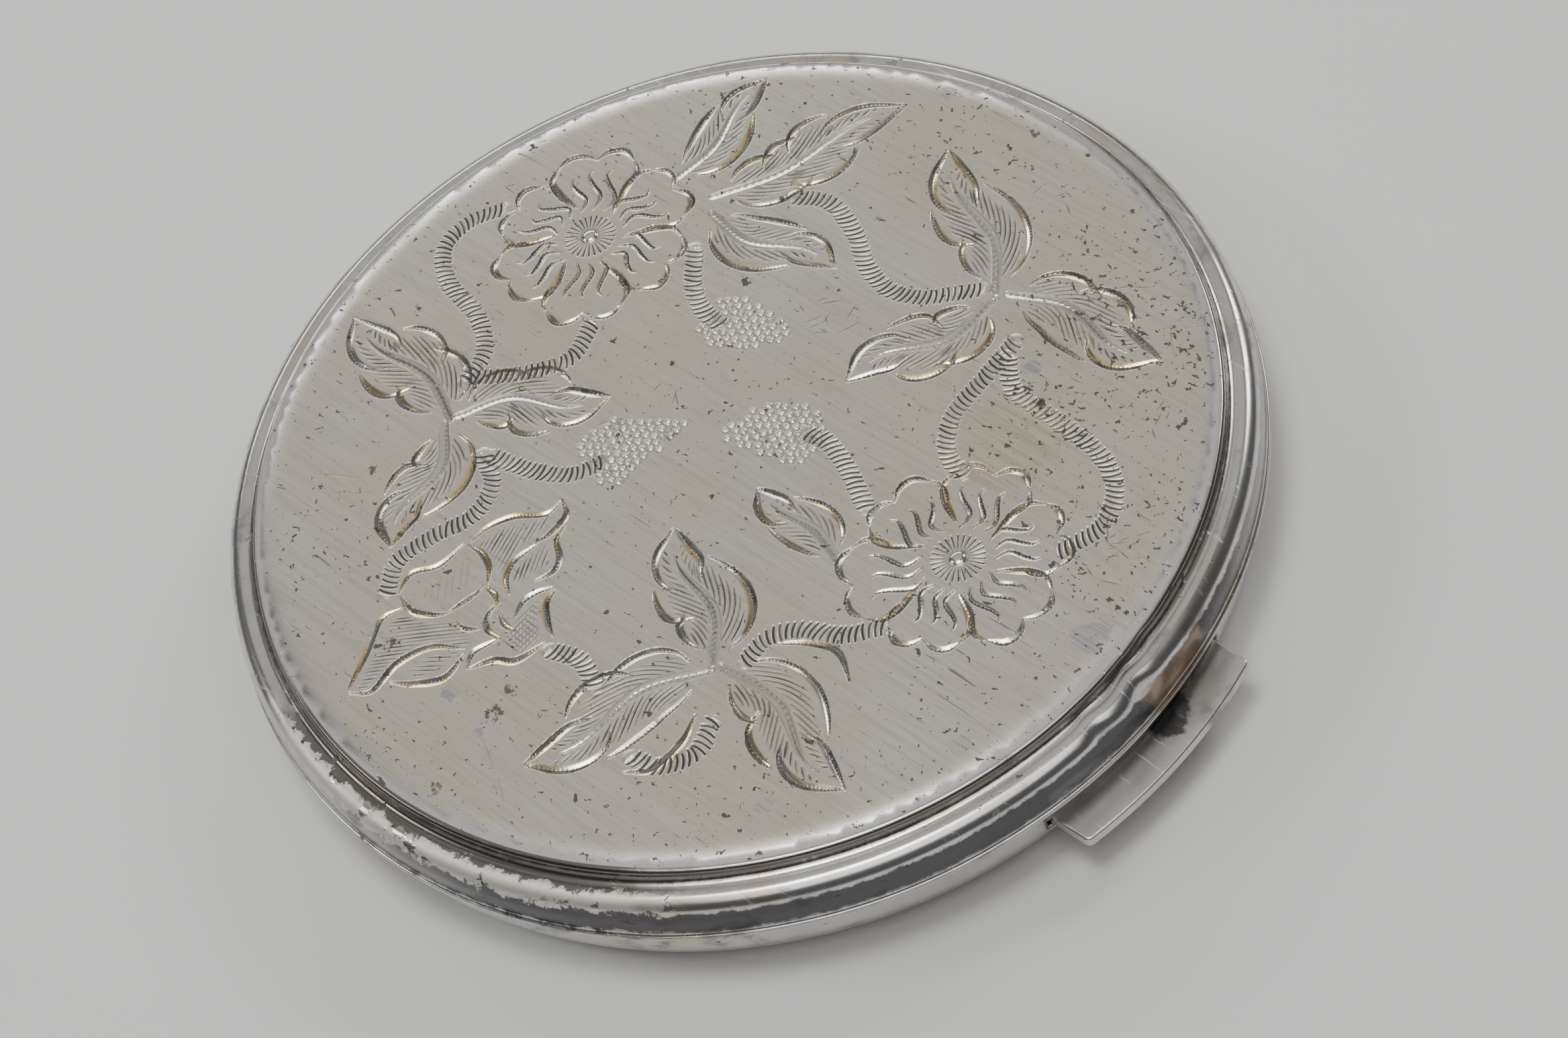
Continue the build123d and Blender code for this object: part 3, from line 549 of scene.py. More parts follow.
def wear_shape(verts):
    """Dents and waves of the rim: moves points by up to half a millimetre."""
    v = np.asarray(verts, float)
    r = np.hypot(v[:, 0], v[:, 1])
    a = np.degrees(np.arctan2(v[:, 1], v[:, 0]))
    z = v[:, 2]
    push = np.zeros(len(v))
    for angle, level, spread_a, spread_z, deep in DENTS:
        near = (a - angle + 180) % 360 - 180
        push += deep * np.exp(-(near / spread_a) ** 2 - ((z - level) / spread_z) ** 2)
    outer = np.clip((r - FLAT_RADIUS) / 0.6, 0, 1)
    push = push * outer + outer * 0.012 * (np.sin(np.radians(a * 7)) + np.sin(np.radians(a * 13 + 40)))
    scale = (r - push) / np.maximum(r, 1e-6)
    v[:, 0] *= scale
    v[:, 1] *= scale
    return v


SEGMENTS = 720
FRONT = SEGMENTS * 3 // 4  # the segment at -Y
ANGLES = 2 * math.pi * np.arange(SEGMENTS) / SEGMENTS
LID_SHEET = 0.5
BASE_SHEET = 0.5
CORNER = 3.8  # radius of the base casing's round corner
FOOT = 0.12  # how far the foot ring stands down
SLOT_LOW = 2.9  # bottom and top of the slot for the thumb plate
SLOT_HIGH = 4.0
HOLE_SPLIT = 36.7  # between the outside and the inside of the base wall


def lid_section():
    """The lid's section as (radius, height) from the plateau's edge round the lip to the underside."""
    wall, inner = LIP_RADIUS - 0.25, LIP_RADIUS - 0.75
    # shoulder, cove and bead in one smooth line; the shoulder starts where the plateau has rolled down
    knots = ((FLAT_RADIUS, 0.0), (34.80, -0.08), (34.98, -0.32), (35.08, -0.68), (35.26, -0.98),
             (35.58, -1.10), (35.98, -1.06), (36.40, -1.10), (36.80, -1.32), (37.10, -1.66), (37.26, -2.08),
             (wall, -2.55))
    outside = [(r, TOP - ROLL_DROP * max(0, 1 - (r - FLAT_RADIUS) / 0.5) + z)
               for r, z in smooth(knots, 14.0)[1:]]
    outside += [(wall, 6.9), (wall, 6.4), (wall, LIP_BOTTOM + 0.72)]
    outside += arc((LIP_RADIUS + 0.02, LIP_BOTTOM + 0.62), 0.27, 180, 262, 6)
    outside += arc((LIP_RADIUS - 0.13, LIP_BOTTOM + 0.16), 0.13, 60, -90, 7)
    under = [(inner, LIP_BOTTOM + 0.03), (inner, 7.5)] + arc((wall - 1.15, TOP - 2.45), 0.65, 0, 90, 6)
    under += [(35.5, TOP - 2.0), (34.75, TOP - 1.75), (34.5, TOP - 0.9)]
    under += [(r, TOP - LID_SHEET) for r in (34.5, 30.0, 15.0)]
    return outside + under


def lathe(section, around):
    """Points of a section of (radius, height) turned about the axis, and a row of their numbers for each
    place in the section. On the axis a row repeats one point."""
    angles = [2 * math.pi * k / around for k in range(around)]
    verts, rows = [], []
    for r, z in section:
        start = len(verts)
        if r < 1e-6:
            verts.append((0, 0, z))
            rows.append([start] * around)
        else:
            verts += [(r * math.cos(a), r * math.sin(a), z) for a in angles]
            rows.append(list(range(start, start + around)))
    return verts, rows


def band(upper, lower, gap=()):
    """Faces between two rows, all the way round except at the segments in the gap."""
    faces = []
    for k in range(len(upper)):
        m = (k + 1) % len(upper)
        face = list(dict.fromkeys((upper[k], lower[k], lower[m], upper[m])))
        if k not in gap and len(face) > 2:
            faces.append(face)
    return faces


def hole_walls(section, rows, edges, front):
    """Faces that close the sheet round a slot, between its outside and its inside."""
    edges = sorted(edges, key=lambda i: section[i][1])
    outer = [i for i in edges if section[i][0] > HOLE_SPLIT]
    inner = [i for i in edges if section[i][0] <= HOLE_SPLIT]
    faces = []
    for o, i in ((outer[0], inner[0]), (outer[-1], inner[-1])):
        faces += [[rows[o][k], rows[o][k + 1], rows[i][k + 1], rows[i][k]] for k in front]
    for k in (front.start, front.stop):
        faces.append([rows[i][k] for i in outer] + [rows[i][k] for i in reversed(inner)])
    return faces


def turned(name, section, material, hole=None):
    """A closed section of (radius, height) in millimetres, turned about the axis. hole = (low, high,
    half_angle) leaves a slot at the front between the section's rows at those two heights."""
    verts, rows = lathe(section, SEGMENTS)
    low, high, half_angle = hole or (0, 0, 0)
    reach = round(SEGMENTS * half_angle / 360)
    front = range(FRONT - reach, FRONT + reach)
    faces = []
    edges = set()
    for i in range(len(rows)):
        j = (i + 1) % len(rows)
        bottom, top = sorted((section[i][1], section[j][1]))
        cut = hole and bottom >= low - 1e-6 and top <= high + 1e-6
        if cut:
            edges |= {i, j}
        faces += band(rows[j], rows[i], front if cut else ())
    if hole:
        faces += hole_walls(section, rows, edges, front)
    obj = new_object(name, np.asarray(verts) * MM, faces, (material,))
    bm = bmesh.new()
    bm.from_mesh(obj.data)
    bmesh.ops.recalc_face_normals(bm, faces=bm.faces)
    bm.to_mesh(obj.data)
    bm.free()
    return obj


def base_section():
    """Base casing: foot ring, round corner and wall, then back down the inside."""
    middle = BASE_RADIUS - CORNER
    inner = BASE_RADIUS - BASE_SHEET
    outside = [(0, FOOT), (31.0, FOOT), (31.4, FOOT / 2), (31.8, 0.0), (middle, 0.0)]
    # the corner's points close to the slot's lower edge give way to one on it
    outside += [p for p in arc((middle, CORNER), CORNER, -90, 0, 19)[1:] if not 2.75 < p[1] < 3.1]
    outside += [(middle + math.sqrt(CORNER**2 - (CORNER - SLOT_LOW)**2), SLOT_LOW), (BASE_RADIUS, SLOT_HIGH)]
    outside += arc((BASE_RADIUS - 0.15, BASE_TOP - 0.15), 0.15, 0, 90, 5)
    outside.sort(key=lambda p: (p[1] > FOOT, p[1] if p[1] > FOOT else p[0]))
    back = [(inner, BASE_TOP), (inner, SLOT_HIGH), (inner, CORNER),
            (middle + math.sqrt((CORNER - BASE_SHEET)**2 - (CORNER - SLOT_LOW)**2), SLOT_LOW)]
    back += arc((middle, CORNER), CORNER - BASE_SHEET, -30, -90, 8) + [(0, BASE_SHEET)]
    return outside + back


def refined_cells():
    """Which plain cells hold any drawing, as a [CELLS, CELLS] mask."""
    used = (np.abs(height) > 1e-4) | (gilt > 0.01) | (dark > 0.01)
    cells = np.zeros((CELLS, CELLS), bool)
    where = np.argwhere(used)
    for di in (-1, 0, 1):
        for dj in (-1, 0, 1):
            c = np.clip((where + (di, dj)) // COARSE, 0, CELLS - 1)
            cells[c[:, 0], c[:, 1]] = True
    return cells


def plain_part(verts, quads, node, fine):
    """The plain sheet between the drawing and the plateau's circle: the points it adds, the circle's first,
    and its triangles."""
    edges = np.concatenate([quads[:, [a, (a + 1) % 4]] for a in range(4)])
    _, first, count = np.unique(np.sort(edges, 1), axis=0, return_index=True, return_counts=True)
    border = edges[first[count == 1]]
    border_ids = np.unique(border)
    sx, sy = np.meshgrid(AXIS[::COARSE], AXIS[::COARSE], indexing="ij")
    keep = (np.hypot(sx, sy) < FLAT_RADIUS - 0.4) & ~node[::COARSE, ::COARSE]
    circle = FLAT_RADIUS * np.stack([np.cos(ANGLES), np.sin(ANGLES)], 1)
    added = np.concatenate([circle, np.stack([sx[keep], sy[keep]], 1)])
    ids = np.concatenate([border_ids, len(verts) + np.arange(len(added))])
    place = {v: k for k, v in enumerate(border_ids)}
    fixed = [(place[a], place[b]) for a, b in border]
    start = len(border_ids)
    fixed += [(start + k, start + (k + 1) % SEGMENTS) for k in range(SEGMENTS)]
    flat = np.concatenate([verts[border_ids, :2], added])
    points, _, triangles, origin, _, _ = delaunay_2d_cdt([Vector(at) for at in flat], fixed, [], 0, 1e-7)
    faces = []
    for triangle in triangles:
        middle = sum((points[k] for k in triangle), Vector((0, 0))) / len(triangle)
        a, b = (min(int((value - ORIGIN) / STEP), SIDE - 2) for value in middle)
        if not fine[a, b]:
            faces.append([int(ids[origin[k][0]]) for k in triangle])
    return added, faces


def plateau():
    """The engraved top: its points, its faces, the row of points on its circle, and the drawing's masks."""
    fine = np.kron(refined_cells(), np.ones((COARSE, COARSE), bool))
    node = np.zeros((SIDE, SIDE), bool)
    for di in (0, 1):
        for dj in (0, 1):
            node[di:SIDE - 1 + di, dj:SIDE - 1 + dj] |= fine
    index = np.full((SIDE, SIDE), -1, np.int64)
    index[node] = np.arange(node.sum())
    i, j = np.nonzero(node)
    verts = np.stack([AXIS[i], AXIS[j], TOP + height[node] + undulation(AXIS[i], AXIS[j])], 1)
    i, j = np.nonzero(fine)
    quads = np.stack([index[i, j], index[i + 1, j], index[i + 1, j + 1], index[i, j + 1]], 1)
    added, triangles = plain_part(verts, quads, node, fine)
    circle = list(range(len(verts), len(verts) + SEGMENTS))
    verts = np.concatenate([verts, np.column_stack([added, TOP + undulation(added[:, 0], added[:, 1])])])
    masks = (("gilt", gilt[node]), ("tarnish", dark[node]), ("cut", bright[node]))
    return verts, quads.tolist() + triangles, circle, masks


def make_lid(brushed, polished):
    """One closed shell: the engraved plateau, and the rim, lip and inside turned around it."""
    verts, faces, circle, masks = plateau()
    plateau_faces = len(faces)
    rim = []
    rows = [circle]
    for r, z in lid_section():
        start = len(verts) + SEGMENTS * len(rim)
        rows.append(list(range(start, start + SEGMENTS)))
        x, y = r * np.cos(ANGLES), r * np.sin(ANGLES)
        wave = undulation(x, y) + ROLL_DROP if z > TOP - LID_SHEET else 0
        rim.append(np.column_stack([x, y, np.full(SEGMENTS, z) + wave]))
    verts = np.concatenate([verts, wear_shape(np.concatenate(rim)), [[0, 0, TOP - LID_SHEET]]])
    rows.append([len(verts) - 1] * SEGMENTS)
    for upper, lower in zip(rows, rows[1:]):
        faces += band(upper, lower)
    lid = new_object("engraved_lid", verts * MM, faces, (brushed, polished))
    slots = np.zeros(len(lid.data.polygons), np.int32)
    slots[plateau_faces:] = 1
    lid.data.polygons.foreach_set("material_index", slots)
    for name, values in masks:
        layer = lid.data.attributes.new(name, "FLOAT", "POINT")
        full = np.zeros(len(lid.data.vertices), np.float32)
        full[: len(values)] = values
        layer.data.foreach_set("value", full)
    return lid


# ==== Materials ====


class Nodes:
    """Short names for building one material's node tree."""

    def __init__(self, name):
        self.material = bpy.data.materials.new(name)
        self.material.use_nodes = True
        self.tree = self.material.node_tree
        self.shader = self.tree.nodes["Principled BSDF"]
        self.point = self.add("ShaderNodeTexCoord").outputs["Object"]

    def add(self, kind, **settings):
        node = self.tree.nodes.new(kind)
        for key, value in settings.items():
            setattr(node, key, value)
        return node

    def link(self, value, socket):
        if isinstance(value, bpy.types.NodeSocket):
            self.tree.links.new(value, socket)
        elif value is not None:
            socket.default_value = value

    def math(self, operation, a, b=None, clamp=False):
        node = self.add("ShaderNodeMath", operation=operation, use_clamp=clamp)
        self.link(a, node.inputs[0])
        self.link(b, node.inputs[1])
        return node.outputs[0]

    def times(self, a, b, clamp=False):
        return self.math("MULTIPLY", a, b, clamp)

    def plus(self, a, b):
        return self.math("ADD", a, b)

    def minus(self, a, b, clamp=False):
        return self.math("SUBTRACT", a, b, clamp)

    def scaled(self, stretch, turn=0.0, shift=(0, 0, 0)):
        node = self.add("ShaderNodeMapping")
        node.inputs["Scale"].default_value = stretch
        node.inputs["Rotation"].default_value = (0, 0, turn)
        node.inputs["Location"].default_value = shift
        self.link(self.point, node.inputs["Vector"])
        return node.outputs[0]

    def noise(self, size_mm, detail=3.0, rough=0.55, stretch=(1, 1, 1), turn=0.0, warp=0.0, shift=(0, 0, 0)):
        node = self.add("ShaderNodeTexNoise")
        node.inputs["Scale"].default_value = 1.0
        node.inputs["Detail"].default_value = detail
        node.inputs["Roughness"].default_value = rough
        node.inputs["Distortion"].default_value = warp
        scale = [s / (size_mm * MM) for s in stretch]
        self.link(self.scaled(scale, turn, shift), node.inputs["Vector"])
        return node.outputs["Fac"]

    def ramp(self, value, low, high):
        """0 below low, 1 above high, smooth between; low may be the larger."""
        node = self.add("ShaderNodeMapRange", interpolation_type="SMOOTHSTEP")
        self.link(value, node.inputs["Value"])
        node.inputs["From Min"].default_value = min(low, high)
        node.inputs["From Max"].default_value = max(low, high)
        node.inputs["To Min"].default_value = 0.0 if low < high else 1.0
        node.inputs["To Max"].default_value = 1.0 if low < high else 0.0
        return node.outputs[0]

    def mix(self, factor, a, b):
        node = self.add("ShaderNodeMix", data_type="RGBA")
        self.link(factor, node.inputs["Factor"])
        self.link(colour(a), node.inputs[6])
        self.link(colour(b), node.inputs[7])
        return node.outputs[2]

    def paint(self, under, tone, where, amount=1.0):
        """A tone laid over another where a mask says, as thick as amount."""
        return self.mix(self.times(where, amount), under, tone)

    def blend(self, factor, a, b):
        node = self.add("ShaderNodeMix", data_type="FLOAT")
        self.link(factor, node.inputs["Factor"])
        self.link(a, node.inputs[2])
        self.link(b, node.inputs[3])
        return node.outputs[0]

    def attribute(self, name):
        return self.add("ShaderNodeAttribute", attribute_name=name).outputs["Fac"]

    def bump(self, height_value, strength, distance_mm, normal=None):
        node = self.add("ShaderNodeBump")
        node.inputs["Strength"].default_value = strength
        node.inputs["Distance"].default_value = distance_mm * MM
        self.link(height_value, node.inputs["Height"])
        self.link(normal, node.inputs["Normal"])
        return node.outputs[0]

    def along(self, axis):
        """Place along an axis, in millimetres."""
        parts = self.add("ShaderNodeSeparateXYZ")
        self.link(self.point, parts.inputs[0])
        return self.math("DIVIDE", parts.outputs[axis], MM)

    def away(self, x=0.0, y=0.0):
        """Distance in plan from a point, or from the compact's axis, in millimetres."""
        dx, dy = self.minus(self.along("X"), x), self.minus(self.along("Y"), y)
        return self.math("SQRT", self.plus(self.times(dx, dx), self.times(dy, dy)))

    def near(self, x, y, reach, ragged=0.5, grain_mm=1.2):
        """1 close to a point of the plan, in millimetres, with a ragged edge."""
        wander = self.times(self.minus(self.noise(grain_mm, 4.0, 0.65), 0.5), reach * ragged * 4)
        return self.ramp(self.plus(self.away(x, y), wander), reach * 1.1, reach * 0.75)

    def most(self, *values):
        """The largest of several values."""
        out = values[0]
        for value in values[1:]:
            out = self.math("MAXIMUM", out, value)
        return out

    def set(self, **values):
        for key, value in values.items():
            self.link(value, self.shader.inputs[key.replace("_", " ")])


def colour(value):
    return (*value, 1.0) if isinstance(value, tuple) and len(value) == 3 else value


def specks(n, size_mm, amount, stretch=(1, 1, 1), turn=0.0, shift=(0, 0, 0), extra=None):
    """Scattered ragged pits: 1 in a pit. amount is about the share of the surface that they cover; extra,
    where it is given, adds to it from place to place."""
    value = n.noise(size_mm, 3.0, 0.62, stretch, turn, 0.4, shift)
    if extra is not None:
        value = n.plus(value, extra)
    edge = 0.715 - amount
    return n.ramp(value, edge, edge + 0.018)


# plan position in millimetres and size of the marks that stand out on the plate, and of the speckled patches
# with how much denser their pits are
LILAC_SPOTS = ((1.5, -32.2, 1.5), (-20.8, -22.8, 0.8), (-9.8, -30.6, 0.8), (16.3, -14.5, 0.7),
               (32.4, 7.2, 0.7), (-26.7, 1.6, 0.8), (-27.9, -2.3, 0.4), (-29.0, -4.2, 0.35),
               (-30.4, -6.4, 0.35))
BROWN_SPOTS = ((-26.3, -2.1, 0.7), (-24.0, -1.6, 0.45), (-24.3, -5.0, 0.4), (-32.7, -2.9, 0.5),
               (-16.5, 20.3, 0.4), (32.9, -0.8, 0.4), (-26.3, 8.1, 0.6))
SPECKLED = ((22.0, -19.0, 10.0, 0.042), (12.0, -18.0, 4.5, 0.040), (9.0, -29.0, 6.5, 0.035),
            (-22.0, 19.0, 5.0, 0.03), (29.0, 6.0, 6.0, 0.022), (0.0, 0.0, 9.0, 0.012))
HAZE = (11.0, -17.0, 4.2)  # a brownish rubbed patch


def brushed_plate():
    """Worn nickel-silver plateau: straight grain along Y, pits, scratches, blotches and gilt cuts."""
    n = Nodes("brushed_plate")
    grain = n.noise(0.11, 2.0, 0.6, (1, 0.022, 1))
    streaks = n.noise(0.24, 3.0, 0.6, (1, 0.03, 1), shift=(3, 1, 0))
    cloud = n.noise(14, 4.0, 0.55)
    fine_cloud = n.noise(3.2, 4.0, 0.6, warp=0.6)
    r = n.away()
    warm = n.mix(n.ramp(cloud, 0.35, 0.68), (0.69, 0.648, 0.568), (0.665, 0.60, 0.49))
    base = n.paint(warm, (0.56, 0.51, 0.45), n.ramp(streaks, 0.38, 0.70), 0.75)

    # lilac-grey blotches where the plate has worn through, and a worn band and a rubbed edge round it
    blotch = n.times(n.ramp(fine_cloud, 0.66, 0.71), n.ramp(n.noise(9, 2.0), 0.54, 0.64))
    worn = n.most(n.times(blotch, 0.7), *[n.near(*spot, 0.45) for spot in LILAC_SPOTS])
    worn = n.times(worn, n.ramp(streaks, 0.62, 0.42))
    worn_band = n.times(n.ramp(r, 32.8, 34.6), n.ramp(n.noise(2.4, 4.0, 0.65), 0.36, 0.58))
    rubbed = n.ramp(r, 33.7, 34.4)
    base = n.paint(base, (0.72, 0.70, 0.73), worn_band, 0.7)
    base = n.paint(base, (0.26, 0.255, 0.285), worn, 0.85)
    base = n.paint(base, (0.84, 0.83, 0.82), rubbed, 0.8)

    # pits and short scratches, denser towards the rim and in a few speckled patches
    dense = n.times(n.ramp(r, 22.0, 35.0), 0.02)
    for x, y, reach, more in SPECKLED:
        dense = n.plus(dense, n.times(n.near(x, y, reach, 0.35, 5.0), more))
    pits = n.most(specks(n, 0.48, 0.050, (1, 0.75, 1), 0.3, extra=dense),
                  specks(n, 0.85, 0.016, (1, 0.7, 1), 0.3, shift=(7, 1, 0), extra=n.times(dense, 0.7)),
                  specks(n, 1.9, -0.002, (1, 0.8, 1), shift=(4, 4, 0), extra=n.times(dense, 0.3)))
    one_way = n.times(n.ramp(n.noise(0.30, 1.0, 0.4, (1, 0.05, 1), 0.5, 1.2), 0.735, 0.76),
                      n.ramp(n.noise(6, 2.0, shift=(1, 7, 0)), 0.49, 0.57))
    other_way = n.times(n.ramp(n.noise(0.34, 1.0, 0.4, (1, 0.045, 1), -0.9, 1.5), 0.745, 0.77),
                        n.ramp(n.noise(7, 2.0, shift=(8, 1, 0)), 0.50, 0.58))
    marks = n.most(pits, n.times(n.most(one_way, other_way), 0.8))

    # the cuts: burnished facets, gilt where the brass shows, and tarnish in the steep walls
    cut = n.attribute("cut")
    gilt_part = n.times(n.attribute("gilt"), n.ramp(n.noise(2.2, 3.0, shift=(2, 2, 0)), 0.36, 0.52))
    tarnish = n.times(n.attribute("tarnish"), n.blend(n.noise(1.4, 3.0), 0.75, 1.3), True)
    base = n.paint(base, (0.74, 0.72, 0.69), cut, 0.7)
    base = n.mix(gilt_part, base, (0.80, 0.645, 0.35))
    base = n.mix(tarnish, base, (0.05, 0.047, 0.046))

    brown = n.times(n.most(*[n.near(*spot, 0.8, 0.7) for spot in BROWN_SPOTS]),
                    n.ramp(n.noise(0.5, 3.0), 0.40, 0.55))
    haze = n.times(n.near(*HAZE, 0.4, 4.0), n.blend(n.ramp(streaks, 0.42, 0.62), 0.15, 0.5))
    base = n.paint(base, (0.07, 0.055, 0.028), brown, 0.9)
    base = n.mix(haze, base, (0.50, 0.41, 0.27))
    base = n.paint(base, (0.045, 0.038, 0.034), marks, 0.92)

    rough = n.plus(n.blend(grain, 0.27, 0.40), n.times(n.most(worn, marks, brown), 0.20))
    rough = n.plus(rough, n.times(tarnish, 0.15))
    rough = n.minus(rough, n.times(cut, 0.14), True)
    rough = n.minus(rough, n.times(rubbed, 0.12), True)
    metal = n.minus(1.0, n.times(n.most(marks, tarnish, brown), 0.45))
    relief = n.bump(n.plus(grain, n.times(streaks, 0.6)), 0.12, 0.02)
    relief = n.bump(n.times(marks, -1.0), 0.5, 0.03, relief)
    n.set(Base_Color=base, Metallic=metal, Roughness=rough, Normal=relief)
    return n.material


# plan position and reach in millimetres: the bead's worn side, the tarnish film and painted reflection below
# it, a stain and a dark patch at the front
WORN_BEAD = (-36.6, -5.1, 18.5)
DARK_FILM_AND_REFLECTION = (-14.0, -25.0, 34.0)
BROWN_STAIN = (4.0, -37.0, 3.2)
THUMB_DARK_BY_WALL = (2.0, -37.4, 1.9)


def rim_wear_and_shade(n, base):
    """Wear of the lid's rim with painted shade in its cove and a painted dark reflection on its lower wall,
    laid over the base tone. Returns the new tone and the flaked places.
    """
    worn_side = n.near(*WORN_BEAD, 0.12, 3.0)
    ragged = n.minus(n.noise(1.1, 6.0, 0.72, shift=(6, 1, 3)), 0.5)
    ragged = n.times(ragged, n.blend(worn_side, 0.9, 3.2))
    r, z = n.away(), n.along("Z")
    ragged_r, level = n.plus(r, ragged), n.plus(z, ragged)
    belt = n.times(n.ramp(level, 8.08, 8.16), n.ramp(ragged_r, 36.0, 36.2))
    belt = n.times(belt, n.ramp(n.noise(3.4, 5.0, 0.65, shift=(2, 2, 7)), 0.40, 0.44))
    flaked = n.times(worn_side, belt)
    base = n.paint(base, (0.74, 0.70, 0.63), flaked, 0.9)

    # darker in the step beside the plateau and, on the worn side, across the cove: dirt, with painted shade
    # in these hollows
    seam = n.times(n.ramp(r, 34.82, 34.92), n.ramp(ragged_r, 35.35, 35.15))
    cove = n.times(worn_side, n.ramp(ragged_r, 36.3, 35.9))
    dirt = n.times(n.most(n.times(seam, 0.66), n.times(cove, 0.78)), n.ramp(z, 8.35, 8.45))
    base = n.mix(dirt, base, (0.10, 0.088, 0.075))

    # dark film on the lower wall, partly tarnish and partly a painted dark reflection, strongest at the front
    # left; and a brown stain above the thumb plate
    lower = n.times(n.ramp(level, 8.20, 7.95), n.ramp(level, 5.7, 6.2))
    film_and_reflection = n.times(n.blend(n.near(*DARK_FILM_AND_REFLECTION, 0.06, 9.0), 0.40, 0.90), n.ramp(r, 36.95, 37.05))
    base = n.paint(base, (0.045, 0.046, 0.056), lower, film_and_reflection)
    brown = n.times(n.near(*BROWN_STAIN, 0.3, 2.0), n.ramp(level, 8.1, 7.8))
    return n.paint(base, (0.36, 0.27, 0.19), brown, 0.8), flaked


def polished_plate(name, tone, stain_amount=1.0, smooth_by=0.0):
    """Bright turned plate with dark tarnish, pits and hairline scratches. The lid's rim and the thumb plate
    have marks of their own."""
    n = Nodes(name)
    cloud = n.noise(5.5, 4.0, 0.6, warp=0.5)
    warm = n.ramp(n.noise(8.0, 3.0, 0.6, shift=(4, 4, 4)), 0.50, 0.66)
    film = n.times(n.ramp(n.noise(4.2, 5.0, 0.62, (1, 1, 1.6), shift=(2, 5, 1)), 0.54, 0.70),
                   0.62 * stain_amount)
    base = n.mix(n.ramp(cloud, 0.40, 0.65), tone, tuple(c * 0.86 for c in tone))
    base = n.paint(base, (0.62, 0.53, 0.43), warm, 0.6)
    # tarnish film, and on the thumb plate a patch darkened close to the base wall, under the lid's lip
    stain = n.most(film, n.times(n.near(*THUMB_DARK_BY_WALL, 0.5, 2.0), 0.9)) if name == "thumb_plate" else film
    base = n.mix(stain, base, (0.12, 0.115, 0.12))
    flaked = 0.0
    if name == "polished_plate":
        base, flaked = rim_wear_and_shade(n, base)
    pits = n.most(specks(n, 0.8, 0.01), specks(n, 1.6, 0.0, shift=(3, 1, 2)),
                  n.times(specks(n, 2.6, 0.03, (1, 1, 1.5), shift=(1, 8, 2)), 0.8))
    pits = n.times(pits, stain_amount, True)
    base = n.paint(base, (0.05, 0.045, 0.05), pits, 0.85)
    hair = n.ramp(n.noise(0.35, 2.0, 0.5, (1, 0.06, 0.4), 0.7, 0.8), 0.62, 0.74)
    rough = n.plus(n.blend(cloud, 0.19 + smooth_by, 0.28 + smooth_by), n.times(film, 0.2))
    rough = n.plus(rough, n.times(n.most(pits, flaked, n.times(hair, 0.4)), 0.3))
    metal = n.minus(1.0, n.times(pits, 0.5))
    dips = n.minus(n.times(hair, -0.3), n.plus(pits, flaked))
    relief = n.bump(n.noise(2.6, 2.0, 0.5, shift=(9, 9, 9)), 0.15, 0.03)
    n.set(Base_Color=base, Metallic=metal, Roughness=rough, Normal=n.bump(dips, 0.4, 0.03, relief))
    return n.material


POWDER = (0.80, 0.66, 0.55)


def satin_metal(name, tone, worn_tone, grain=(1, 0.03, 1), low=0.24, high=0.38, dirt=0.5, dust=0.0):
    """Satin sheet metal with a straight or turned grain, rubbed places, dirt and a dusting of powder."""
    n = Nodes(name)
    lines = n.noise(0.14, 2.0, 0.6, grain)
    cloud = n.noise(7, 4.0, 0.6, warp=0.4)
    base = n.mix(n.ramp(cloud, 0.42, 0.66), tone, worn_tone)
    base = n.paint(base, tuple(c * 0.75 for c in tone), n.ramp(lines, 0.35, 0.7), 0.35)
    marks = n.times(n.most(specks(n, 0.8, -0.005), specks(n, 1.9, 0.0, shift=(5, 2, 1))), dirt)
    base = n.mix(marks, base, (0.06, 0.045, 0.03))
    powder = n.times(n.ramp(n.noise(2.6, 5.0, 0.7, shift=(1, 3, 2)), 0.46, 0.62), dust)
    base = n.mix(powder, base, POWDER)
    rough = n.plus(n.blend(lines, low, high), n.times(n.most(marks, powder), 0.45))
    metal = n.minus(1.0, n.most(powder, n.times(marks, 0.5)), True)
    n.set(Base_Color=base, Metallic=metal, Roughness=rough, Normal=n.bump(lines, 0.12, 0.02))
    return n.material


def turned_metal(name, tone, worn_tone):
    """Spun metal: rings of fine turning marks about the compact's axis."""
    n = Nodes(name)
    rings = n.add("ShaderNodeTexNoise", noise_dimensions="1D")
    rings.inputs["Scale"].default_value = 3.2
    rings.inputs["Detail"].default_value = 5.0
    n.link(n.away(), rings.inputs["W"])
    cloud = n.noise(9, 4.0, 0.6, warp=0.5)
    base = n.mix(n.ramp(cloud, 0.40, 0.66), tone, worn_tone)
    base = n.paint(base, tuple(c * 0.7 for c in tone), n.ramp(rings.outputs["Fac"], 0.4, 0.7), 0.3)
    marks = n.times(specks(n, 1.2, -0.005), 0.7)
    base = n.mix(marks, base, (0.07, 0.05, 0.03))
    powder = n.times(n.ramp(n.noise(3.4, 5.0, 0.7, shift=(2, 2, 2)), 0.54, 0.72), 0.22)
    base = n.mix(powder, base, POWDER)
    rough = n.plus(n.blend(rings.outputs["Fac"], 0.20, 0.36), n.times(powder, 0.5))
    n.set(Base_Color=base, Metallic=n.minus(1.0, powder), Roughness=rough,
          Normal=n.bump(rings.outputs["Fac"], 0.20, 0.03))
    return n.material


